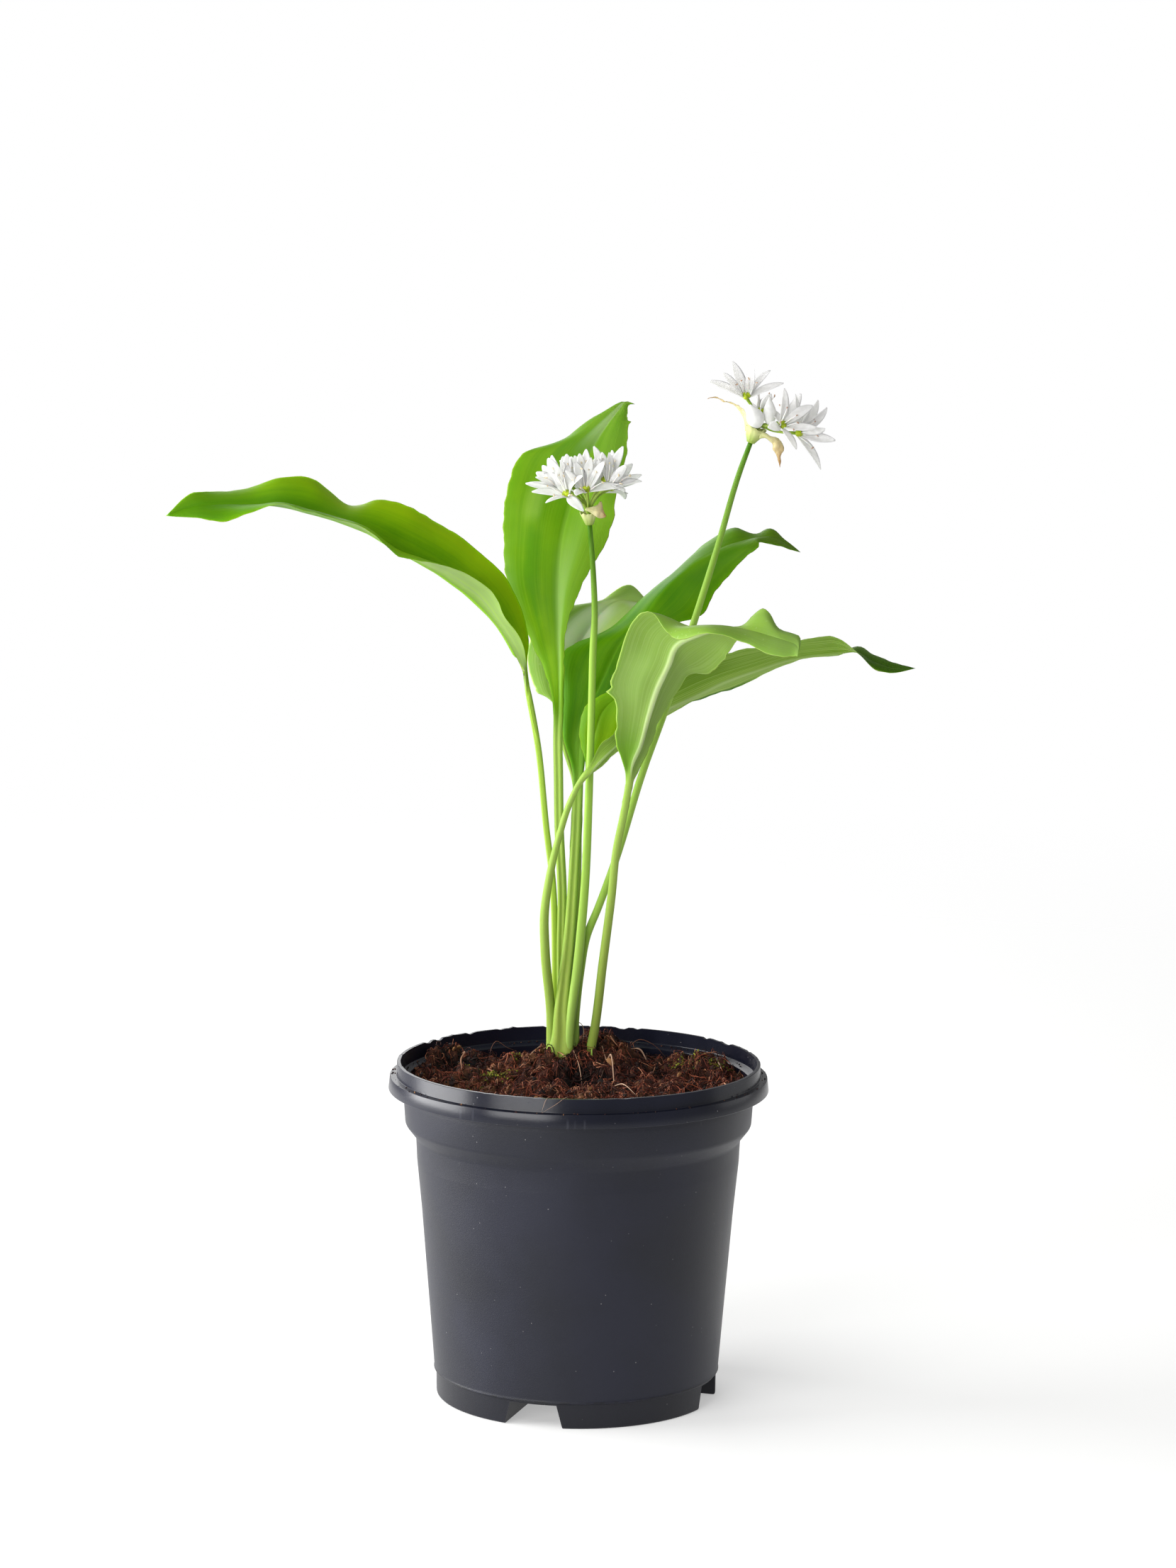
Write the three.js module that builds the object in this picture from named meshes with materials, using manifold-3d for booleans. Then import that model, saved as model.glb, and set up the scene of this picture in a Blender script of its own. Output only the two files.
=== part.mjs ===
// Wild garlic in a round nursery pot: seven leaves, two flower heads on their stalks and a new shoot.
// Millimetres, +Z up, -Y is the front. The origin is the middle of the pot's underside, on the ground.

import * as THREE from 'three';
import { mergeVertices } from 'three/addons/utils/BufferGeometryUtils.js';
import Module from 'manifold-3d';

const wasm = await Module();
wasm.setup();

// Driving dimensions of the pot
const potHeight = 116;
const lipRadius = 62.2;
const flangeRadius = 65;
const flangeTop = 111.3;
const flangeBottom = 106.7;
const collarRadius = 59.6;
const collarBottom = 94.8;
const wallTopRadius = 55.6;
const wallTop = 90.5;
const wallFootRadius = 49;
const footStep = 9;
const footRadius = 48.3;
const footCorner = 1.5;
const potWall = 1.2;
const potSides = 48;

// The base stands on a middle pad and four feet, with a raised channel between each two feet
const channelCount = 4;
const channelTurn = -17.5;
const channelHeight = 8;
const channelHalfTop = 8.2;
const channelHalfBottom = 10;
const channelStart = 18;
const drainRadius = 4.5;
const drainAt = 34;

// Soil
const soilLevel = 107.5;
const soilRings = [51, 42, 33, 24, 15, 7];
const lump = 0.9;

// Plant
const fit = 0.3;
const bladeThickness = 0.6;
const sliver = 0.02;
const stemFoot = 101;
const stalkSides = 8;
const holeSides = 12;
const shoot = { x: 3.9, y: 17.5, height: 117, radius: 0.6 };
const pedicelRadius = 0.5;
const pedicelSides = 5;
const ovaryRadius = 1.15;
const tepalLength = 12.3;
const tepalWidth = 3.8;
const cupRadius = 3.1;
const cupHeight = 3.6;
const cupDrop = 0.8;

const finishes = {
  pot: { color: 0x2b2d33, roughness: 0.55 },
  soil: { color: 0x4a2a1c, roughness: 0.95 },
  leafYellowGreen: { color: 0x5e9a12, roughness: 0.45 },
  leafDark: { color: 0x3c7d16, roughness: 0.45 },
  leafPale: { color: 0x86b45c, roughness: 0.5 },
  stalk: { color: 0x7fae42, roughness: 0.5 },
  tepal: { color: 0xf2f2f0, roughness: 0.55 },
  spathe: { color: 0xd9d3a4, roughness: 0.6 },
};

const at = (p) => new THREE.Vector3(...p);
const radians = THREE.MathUtils.degToRad;
const lerp = THREE.MathUtils.lerp;

// A closed geometry as a solid that can be joined and cut
function solidOf(geometry) {
  const bare = geometry.index ? geometry.toNonIndexed() : geometry.clone();
  for (const name of ['normal', 'uv']) bare.deleteAttribute(name);
  const merged = mergeVertices(bare, 1e-4);
  const triVerts = new Uint32Array(merged.index.array);
  const solid = new wasm.Manifold(
    new wasm.Mesh({ numProp: 3, vertProperties: merged.attributes.position.array, triVerts })
  );
  return solid;
}

function geometryOf(solid) {
  const mesh = solid.getMesh();
  const geometry = new THREE.BufferGeometry();
  geometry.setAttribute('position', new THREE.BufferAttribute(mesh.vertProperties, 3));
  geometry.setIndex(new THREE.BufferAttribute(mesh.triVerts, 1));
  geometry.computeVertexNormals();
  return geometry;
}

const joined = (solids) => wasm.Manifold.union(solids).simplify(sliver);

// The largest body of a solid, without the scraps that a cut leaves
function mainBody(solid) {
  return solid.decompose().sort((a, b) => b.volume() - a.volume())[0];
}

function named(name, solid, finish) {
  const mesh = new THREE.Mesh(geometryOf(solid), new THREE.MeshStandardMaterial(finish));
  mesh.name = name;
  return mesh;
}

// A profile of [radius, height] pairs turned round the Z axis
function turned(profile, sides) {
  const points = profile.map(([r, z]) => new THREE.Vector2(r, z));
  return new THREE.LatheGeometry(points, sides).rotateX(Math.PI / 2);
}

// Skins a row of rings, which all have as many points, and closes both ends with a fan
function skinned(rings) {
  const count = rings[0].length;
  const position = rings.flat().flatMap((p) => [p.x, p.y, p.z]);
  const index = [];
  for (let i = 0; i + 1 < rings.length; i++) {
    for (let j = 0; j < count; j++) {
      const a = i * count + j;
      const b = i * count + ((j + 1) % count);
      index.push(a, b, b + count, a, b + count, a + count);
    }
  }
  const last = (rings.length - 1) * count;
  for (let j = 1; j + 1 < count; j++) {
    index.push(0, j + 1, j, last, last + j, last + j + 1);
  }
  const geometry = new THREE.BufferGeometry();
  geometry.setAttribute('position', new THREE.Float32BufferAttribute(position, 3));
  geometry.setIndex(index);
  return geometry;
}

// Skins a blade whose rows hold the upper points and then the lower ones, both from left to right. A cell is
// split along its shorter diagonal, and alike above and below, so that the two faces never cross.
function sheet(rows) {
  const count = rows[0].length / 2;
  const index = [];
  const quad = (a, b, c, d) => index.push(a, b, c, a, c, d);
  const seat = (i, j) => 2 * count * i + j;
  for (let i = 0; i + 1 < rows.length; i++) {
    for (let j = 0; j + 1 < count; j++) {
      const cell = [seat(i, j), seat(i, j + 1), seat(i + 1, j + 1), seat(i + 1, j)];
      const [near, far] = [rows[i], rows[i + 1]];
      if (near[j].distanceTo(far[j + 1]) > near[j + 1].distanceTo(far[j])) cell.push(cell.shift());
      const [a, b, c, d] = cell;
      quad(a, b, c, d);
      quad(a + count, d + count, c + count, b + count);
    }
    quad(seat(i, 0), seat(i + 1, 0), seat(i + 1, count), seat(i, count));
    quad(seat(i, count - 1), seat(i, 2 * count - 1), seat(i + 1, 2 * count - 1), seat(i + 1, count - 1));
  }
  const last = rows.length - 1;
  for (let j = 0; j + 1 < count; j++) {
    quad(seat(0, j), seat(0, j + count), seat(0, j + count + 1), seat(0, j + 1));
    quad(seat(last, j), seat(last, j + 1), seat(last, j + count + 1), seat(last, j + count));
  }
  const geometry = new THREE.BufferGeometry();
  const position = rows.flat().flatMap((p) => p.toArray());
  geometry.setAttribute('position', new THREE.Float32BufferAttribute(position, 3));
  geometry.setIndex(index);
  return geometry;
}

// A round tube through points, whose radius follows an evenly spaced list
function tube(points, radii, sides, steps) {
  const curve = new THREE.CatmullRomCurve3(points.map(at));
  const frames = curve.computeFrenetFrames(steps, false);
  const rings = [];
  for (let i = 0; i <= steps; i++) {
    const t = i / steps;
    const seat = t * (radii.length - 1);
    const low = Math.min(Math.floor(seat), radii.length - 2);
    const radius = lerp(radii[low], radii[low + 1], seat - low);
    const middle = curve.getPoint(t);
    const ring = [];
    for (let j = 0; j < sides; j++) {
      const turn = (2 * Math.PI * j) / sides;
      ring.push(
        middle
          .clone()
          .addScaledVector(frames.normals[i], radius * Math.cos(turn))
          .addScaledVector(frames.binormals[i], radius * Math.sin(turn))
      );
    }
    rings.push(ring);
  }
  return solidOf(skinned(rings));
}

// Pot
function channelCutter(skin) {
  const half = channelHalfBottom + (channelHalfBottom - channelHalfTop) / channelHeight;
  const shape = new THREE.Shape();
  shape.moveTo(-half - skin, -1);
  shape.lineTo(half + skin, -1);
  shape.lineTo(channelHalfTop + skin, channelHeight + skin);
  shape.lineTo(-channelHalfTop - skin, channelHeight + skin);
  const length = flangeRadius - channelStart + skin;
  const block = new THREE.ExtrudeGeometry(shape, { depth: length, bevelEnabled: false });
  block.rotateX(Math.PI / 2).translate(0, skin - channelStart, 0);
  const cutters = [];
  for (let i = 0; i < channelCount; i++) {
    const turn = radians(channelTurn + (360 / channelCount) * i);
    cutters.push(solidOf(block.clone().rotateZ(turn)));
  }
  return joined(cutters);
}

// The inside of the pot, drawn in by a gap where the soil has to clear it
function potInside(gap) {
  const inset = potWall + gap;
  return turned(
    [
      [0, inset],
      [footRadius - footCorner - gap, inset],
      [footRadius - inset, footCorner + inset],
      [wallFootRadius - inset, footStep],
      [wallTopRadius - inset, wallTop],
      [collarRadius - inset, collarBottom],
      [collarRadius - inset, flangeTop - potWall],
      [lipRadius - inset, flangeTop - gap],
      [lipRadius - inset, potHeight + 1],
      [0, potHeight + 1],
    ],
    potSides
  );
}

function makePot() {
  const outside = solidOf(
    turned(
      [
        [0, 0],
        [footRadius - footCorner, 0],
        [footRadius - 0.3 * footCorner, 0.3 * footCorner],
        [footRadius, footCorner],
        [footRadius, footStep - 0.5],
        [wallFootRadius + 0.2, footStep],
        [wallFootRadius, footStep + 1],
        [wallTopRadius, wallTop],
        [collarRadius, collarBottom],
        [collarRadius, flangeTop - 2 * potWall],
        [flangeRadius - potWall, flangeTop - potWall],
        [flangeRadius - potWall, flangeBottom],
        [flangeRadius, flangeBottom],
        [flangeRadius, flangeTop - 0.4],
        [flangeRadius - 0.4, flangeTop],
        [lipRadius, flangeTop],
        [lipRadius, potHeight],
        [0, potHeight],
      ],
      potSides
    )
  );
  const inside = solidOf(potInside(0)).subtract(channelCutter(potWall));
  const drains = [];
  for (let i = 0; i < channelCount; i++) {
    const drain = new THREE.CylinderGeometry(drainRadius, drainRadius, 2 * channelHeight, 16);
    drain.rotateX(Math.PI / 2).translate(0, -drainAt, channelHeight);
    drains.push(solidOf(drain.rotateZ(radians(channelTurn + (360 / channelCount) * i))));
  }
  return outside.subtract(channelCutter(0)).subtract(inside).subtract(joined(drains));
}

// Soil: a mound round the stems, a crumb behind them, low humps at the back and a hollow in front
const humps = [
  { x: -3, y: 21, rise: 6.5, spread: 13 },
  { x: 10, y: 37, rise: 8, spread: 7 },
  { x: -42, y: 30, rise: 4, spread: 9 },
  { x: 42, y: 32, rise: 3.5, spread: 9 },
  { x: -12, y: -4, rise: -3, spread: 10 },
  { x: 0, y: -45, rise: 2.5, spread: 22 },
];

function soilTop(x, y) {
  let z = soilLevel;
  for (const hump of humps) {
    const away = (x - hump.x) ** 2 + (y - hump.y) ** 2;
    z += hump.rise * Math.exp(-away / (2 * hump.spread ** 2));
  }
  z += lump * Math.sin(0.42 * x + 1.3) * Math.cos(0.37 * y - 0.4);
  z += 0.6 * lump * Math.sin(0.71 * x - 0.55 * y);
  return z;
}

function makeSoil(holes) {
  const rim = collarRadius - potWall - fit;
  const profile = [
    [0, potWall + fit],
    [footRadius - footCorner - fit, potWall + fit],
    [footRadius - potWall - fit, footCorner + potWall + fit],
    [wallFootRadius - potWall - fit, footStep],
    [wallTopRadius - potWall - fit, wallTop + 0.5 * fit],
    [rim, collarBottom + fit],
    [rim, soilLevel],
    ...soilRings.map((r) => [r, soilLevel]),
    [0, soilLevel],
  ];
  const body = turned(profile, potSides);
  const position = body.attributes.position;
  for (let i = 0; i < position.count; i++) {
    if (position.getZ(i) > soilLevel - 0.01) {
      const x = position.getX(i);
      const y = position.getY(i);
      position.setZ(i, soilTop(x, y));
    }
  }
  return mainBody(solidOf(body).subtract(channelCutter(potWall + fit)).subtract(holes));
}

// Leaves. A stalk point is [x, y, z, half width]. Each blade row gives the left edge, the midrib and the
// right edge, looking from the stalk to the tip at the upper face. Rows of five add a point on each half.
const leaves = {
  leaf_left_arching: {
    finish: 'leafYellowGreen',
    stalk: [
      [-8.6, 27.8, stemFoot, 1.3], [-8.6, 27.8, 116, 1.3], [-8.5, 28.7, 145, 1.25], [-9.6, 26.4, 174, 1.2],
      [-11.9, 24, 193, 1.15], [-15, 21.5, 222, 1.1], [-18.3, 19.5, 240, 1.1],
    ],
    blade: [
      [[-19, 18, 249], [-20, 19, 248], [-19, 20, 251]],
      [[-20, 13, 257], [-23, 18, 254], [-18.5, 22, 258]],
      [[-26, 9, 267], [-29, 17, 264], [-21.5, 23, 271]],
      [[-32, 5, 278], [-38, 16, 273], [-28.5, 24, 282]],
      [[-44, 0, 285], [-47, 14, 280], [-40, 24, 292]],
      [[-55, -5, 288], [-56, 11, 286], [-50, 21, 299]],
      [[-63, -8, 290], [-65, 8, 291], [-59, 17, 304]],
      [[-72, -10, 298], [-73, 5, 296], [-69, 16, 306.5]],
      [[-81.5, -12, 302], [-83, 2, 300], [-80, 16, 305]],
      [[-91, -14, 305], [-92, 0, 303], [-90.5, 10, 313]],
      [[-101.5, -14, 307], [-102.5, -2, 305.5], [-101, 6, 314.5]],
      [[-112, -14, 304], [-113, -4, 306], [-112, 5, 311]],
      [[-120, -13, 301], [-123, -6, 306], [-123, 1, 310]],
      [[-129, -12, 302], [-132, -8, 305], [-132, -5, 309.5]],
    ],
    tip: [-139.7, -10, 302.5],
  },
  leaf_tall_back: {
    finish: 'leafYellowGreen',
    stalk: [
      [-4.9, 27, stemFoot, 1.6], [-4.9, 27, 116, 1.6], [-6.2, 26.4, 135, 1.6], [-6.4, 25.6, 150, 1.6],
      [-6.3, 24.5, 170, 1.6], [-7.5, 23, 193, 1.6], [-7.9, 22, 212, 1.6], [-8.2, 21, 225, 1.6],
    ],
    blade: [
      [[-10, 21, 235], [-8, 21, 235], [-6.3, 20.5, 235]],
      [[-13, 23, 247], [-8, 21, 247], [-6.2, 20, 248]],
      [[-19, 27, 260], [-8.3, 22.5, 260], [-6, 21, 260.5]],
      [[-26, 31, 277], [-8.5, 25, 275], [-2, 22, 273.5]],
      [[-27.5, 35, 294.5], [-6.7, 30, 296], [9, 27, 295]],
      [[-26.5, 37, 308], [-3, 33, 309], [11, 30, 308]],
      [[-21, 40, 321], [2, 37, 321.5], [14.5, 35, 321.5]],
      [[-7, 44, 326], [8, 42, 331], [15, 41, 332]],
      [[6, 46, 335.5], [12.5, 45, 336.5], [15.2, 44, 336]],
    ],
    tip: [17, 47, 339],
  },
  leaf_dark_right: {
    finish: 'leafDark',
    stalk: [
      [-8.4, 19.5, stemFoot, 2.1], [-8.4, 19.5, 115, 2.1], [-6.7, 20.5, 126, 2], [-4, 21, 151, 1.9],
      [-2.5, 21.5, 175, 1.8], [-1.3, 24, 202, 1.8],
    ],
    blade: [
      [[-3.3, 25, 213.5], [-1, 25, 213.5], [1, 25, 214.5]],
      [[-6.6, 26.5, 224], [-0.5, 26, 223], [3, 26, 224.5]],
      [[-7, 29, 236], [2.6, 27, 234], [10.5, 26, 237]],
      [[-8, 32, 249], [7.4, 28, 245], [17, 27, 245]],
      [[-2.5, 37, 255.5], [13.4, 30, 257], [23, 28, 255]],
      [[9, 41, 260.5], [19.5, 31, 263], [29.5, 27, 262.5]],
      [[21.5, 47, 271.5], [27, 33, 273.5], [41.5, 29, 267.5]],
      [[29.5, 48, 278], [32.5, 34, 279], [45.5, 29, 275]],
      [[36.5, 49, 284.5], [39, 36, 284.5], [51.5, 31, 282]],
      [[44, 49.5, 290.5], [46, 38, 288.5], [56, 32, 286.5]],
      [[52.5, 48.5, 295.5], [53.5, 40, 291], [60, 33, 290]],
      [[60, 48.5, 293], [60.5, 42, 292.3], [61, 35.5, 291.8]],
      [[64.8, 47.5, 295.3], [65.2, 43, 292.8], [65.3, 38.5, 290.5]],
      [[69.8, 47.5, 291.7], [70.2, 45, 290.2], [70.6, 42.5, 288.7]],
    ],
    tip: [75.5, 47, 287],
  },
  leaf_small_inner: {
    finish: 'leafYellowGreen',
    stalk: [
      [-5.3, 23.3, stemFoot, 1], [-5.3, 23.3, 115, 1], [-2.2, 25.4, 136, 1], [1, 22.2, 173, 1],
      [2.6, 20.8, 203, 1],
    ],
    blade: [
      [[1.3, 20.5, 214], [2.6, 20.5, 213], [4.3, 20.5, 213.5]],
      [[0, 20.5, 222], [3.5, 20, 220.5], [9.3, 19.5, 218.5]],
      [[-1, 21, 229.5], [5, 19.5, 228], [13.2, 18.5, 225.5]],
      [[0.7, 20.5, 235.5], [7, 19, 234], [15, 18, 230.5]],
      [[6.7, 19.5, 240], [11.6, 18.3, 239], [16.7, 17.5, 235.5]],
    ],
    tip: [19, 17.3, 244],
  },
  leaf_long_right: {
    finish: 'leafPale',
    stalk: [
      [-9.8, 23.8, stemFoot, 1.6], [-9.8, 23.8, 116, 1.6], [-9.9, 22.6, 127, 1.6], [-12, 17.5, 151, 1.6],
      [-12.3, 15.5, 164, 1.5], [-10.7, 14, 177, 1.3], [-7.4, 12.5, 192, 1.1], [-3.7, 11, 204, 1.05],
      [0.6, 10, 212.5, 1.1],
    ],
    blade: [
      [[4.7, 12, 214.5], [4, 10, 216.5], [3.3, 9, 218]],
      [[8, 13, 217], [7.4, 10.5, 220], [6.5, 8.5, 225]],
      [[11, 14, 220], [11.2, 12, 223.7], [10.2, 8, 228]],
      [[20, 22.5, 225], [18.4, 15, 228.5], [16, 12, 238.5]],
      [[29.6, 30, 231.5], [28.2, 20, 234.3], [25.5, 15, 246]],
      [[40.6, 35, 237], [39, 23, 239], [36.5, 17, 253]],
      [[51.7, 36.5, 240], [50, 25, 244.4], [48.4, 16, 255]],
      [[61.5, 38, 245], [60, 26, 248], [58.8, 16, 257]],
      [[70.5, 38, 249], [69.5, 27, 251], [68.5, 17, 258.5]],
      [[80, 37, 251.5], [79.5, 27, 253], [78.2, 18, 260.5]],
      [[88.5, 35.5, 252.5], [88, 27, 254], [87.3, 20, 260.5]],
      [[95, 33, 256], [94.3, 26.5, 254.7], [94.7, 19.5, 254.3]],
      [[100.4, 30.5, 253.3], [99.7, 26, 251.8], [99.5, 21.5, 250.2]],
      [[106.7, 28, 251.4], [106, 25, 249.8], [105.4, 22, 248]],
    ],
    tip: [114.5, 24, 249.5],
  },
  leaf_pale_front: {
    finish: 'leafPale',
    stalk: [
      [4, 22.6, stemFoot, 1.6], [4, 22.6, 115, 1.6], [5.2, 21.5, 122, 1.55], [8, 18, 147, 1.5],
      [10.7, 13, 171, 1.4], [12.3, 10, 188, 1.3], [14.5, 7, 200, 1.25], [16.4, 4, 212, 1.3],
    ],
    blade: [
      [[19.5, 3, 216], [17, 2, 218], [14.6, 2, 217]],
      [[21, 2, 225], [18, -1, 227], [11, 0, 226]],
      [[24, 0, 235], [20, -5, 237], [11.7, -3, 238]],
      [[30, -2, 243.5], [23, -9, 246], [10, -7, 248]],
      [[36, -4, 250], [27, -13, 254], [12.7, -10, 257]],
      [[42.5, -8, 251], [31.5, -17, 261], [16, -16, 268]],
      [[47, -14, 255.5], [38, -22, 265.5], [22.5, -26, 273.3]],
      [[49.2, -19, 260], [46.5, -23, 265], [44, -28, 268], [33, -33, 269.4], [31, -37, 265.5]],
      [[52.5, -25, 265.5], [51, -29, 268.5], [49, -34, 269.4], [42.7, -40, 270.5], [40.7, -45, 268.5]],
      [[55.4, -33, 272.6], [54.8, -40, 269], [52, -48, 266.3]],
      [[60.2, -37, 275.7], [60.4, -45, 268], [59, -53, 263.4]],
      [[64.5, -43, 270], [65.5, -50, 267], [64.2, -57, 262.3]],
      [[70.7, -49, 268.4], [69.6, -54, 266], [68.5, -58, 262.7]],
    ],
    tip: [70, -61, 263],
  },
  leaf_pale_back: {
    finish: 'leafPale',
    stalk: [
      [-1.2, 27.2, stemFoot, 1.3], [-1.2, 27.2, 116, 1.3], [-2, 29, 149, 1.3], [-1, 32, 184, 1.3],
      [-2, 34, 208, 1.3], [-6, 34, 223, 1.5],
    ],
    blade: [
      [[-9.4, 34, 232.5], [-7.2, 34, 232], [-4.5, 34, 232]],
      [[-16, 36, 240], [-6, 36, 241.5], [2.6, 36, 239]],
      [[-19.4, 39, 250], [-3.2, 39, 250], [8.6, 38, 246.5]],
      [[-15, 44, 261.5], [1.6, 43, 259.5], [14.7, 40, 253.5]],
      [[-5, 49, 267], [7.2, 47, 266], [19.6, 43, 259]],
      [[6, 54, 269], [12.4, 51, 269], [23.3, 46, 262]],
      [[15.4, 58, 274.3], [18, 55, 268.5], [27, 50, 262.5]],
      [[21.5, 61, 269], [23.5, 59, 265], [29.6, 55, 261]],
    ],
    tip: [31, 62, 260],
  },
};

const across = [-1, -0.62, -0.26, 0, 0.26, 0.62, 1];
const bladeSwell = 0.07;
const ribHalf = 1.6;
const ribDepth = 1.1;
const tipShare = 0.08;

// A point across one half of a blade row, from the midrib at 0 to the edge at 1
function halfPoint(middle, between, edge, s) {
  return middle
    .clone()
    .multiplyScalar((1 - s) * (1 - 2 * s))
    .addScaledVector(between, 4 * s * (1 - s))
    .addScaledVector(edge, s * (2 * s - 1));
}

// Points across the stalk, which is flat in the same plane as the first row of the blade
function stalkGrid(leaf, first) {
  const side = first.at(-1).clone().sub(first[0]).normalize();
  const middles = leaf.stalk.map((p) => at(p));
  return middles.map((middle, i) => {
    const next = middles[i + 1] ?? first[first.length >> 1];
    const along = next.clone().sub(middle).normalize();
    const flat = side.clone().addScaledVector(along, -side.dot(along)).normalize();
    return across.map((u) => middle.clone().addScaledVector(flat, u * leaf.stalk[i][3]));
  });
}

// Points across a row of the blade, whose halves swell a little towards the upper face
function bladePoints(row, before) {
  const middle = row[row.length >> 1];
  const [left, right] = [row[0], row.at(-1)];
  const up = right.clone().sub(left).cross(middle.clone().sub(before)).normalize();
  const between = (edge) =>
    edge.clone().lerp(middle, 0.5).addScaledVector(up, bladeSwell * edge.distanceTo(middle));
  const onLeft = row.length === 5 ? row[1] : between(left);
  const onRight = row.length === 5 ? row[3] : between(right);
  return across.map((u) => halfPoint(middle, u < 0 ? onLeft : onRight, u < 0 ? left : right, Math.abs(u)));
}

// The middle surface of a leaf or bract: rows from the foot to the tip, points from left to right
function bladeGrid(leaf) {
  const blade = leaf.blade.map((row) => row.map(at));
  const grid = leaf.stalk ? stalkGrid(leaf, blade[0]) : [];
  let before = leaf.stalk ? at(leaf.stalk.at(-1)) : at(leaf.foot);
  for (const row of blade) {
    grid.push(bladePoints(row, before));
    before = row[row.length >> 1];
  }
  const tip = at(leaf.tip);
  grid.push(grid.at(-1).map((p) => tip.clone().lerp(p, tipShare)));
  return grid;
}

// Two skins stand off the middle surface: evenly on the blade but for its rib, and round on the stalk
function bladeSolid(leaf) {
  const grid = bladeGrid(leaf);
  const stalkRows = leaf.stalk?.length ?? 0;
  const rings = grid.map((row, i) => {
    const half = row[0].distanceTo(row.at(-1)) / 2;
    const onStalk = i < stalkRows;
    const reach = onStalk ? half : Math.min(half, ribHalf);
    const rise = onStalk ? half - bladeThickness / 2 : 0;
    const keel = leaf.stalk ? ribDepth * (1 - (i - stalkRows) / (grid.length - stalkRows)) : 0;
    const [above, below] = [grid[Math.min(i + 1, grid.length - 1)], grid[Math.max(i - 1, 0)]];
    const upper = [];
    const lower = [];
    row.forEach((p, j) => {
      const along = above[j].clone().sub(below[j]);
      const over = row[Math.min(j + 1, row.length - 1)].clone().sub(row[Math.max(j - 1, 0)]);
      const normal = over.cross(along).normalize();
      const hump = Math.sqrt(Math.max(0, 1 - (across[j] * half / reach) ** 2));
      upper.push(p.clone().addScaledVector(normal, bladeThickness / 2 + rise * hump));
      lower.push(p.clone().addScaledVector(normal, -bladeThickness / 2 - (onStalk ? rise : keel) * hump));
    });
    return [...upper, ...lower];
  });
  return solidOf(sheet(rings));
}

// Flower stalks, from the soil to the foot of the flower head
const scapes = [
  {
    points: [
      [-3.9, 18.6, stemFoot], [-3.9, 18.6, 108], [-3.8, 18.6, 116], [-0.3, 18, 151], [1.5, 17, 174], [2.6, 15, 206],
      [3, 13.5, 222], [3.3, 11.5, 240], [3.6, 9, 258], [4, 7, 267], [3.4, 4, 282], [1.6, 0.5, 299],
    ],
    radii: [1.7, 1.6, 1.3, 1.2, 0.8],
  },
  {
    points: [
      [-1.9, 22.8, stemFoot], [-1.9, 22.8, 110], [-1.8, 22.8, 118], [0.2, 21.9, 143], [2.3, 21, 155.6], [6.2, 20, 166],
      [11.6, 18, 181.7], [21.2, 13.5, 215], [28.5, 11, 236.4], [37.7, 7.5, 266.5], [45.2, 4.5, 292],
      [52.6, 1, 319], [55.8, 0, 328],
    ],
    radii: [1.5, 1.4, 1.3, 1.2, 0.8],
  },
];

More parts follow.
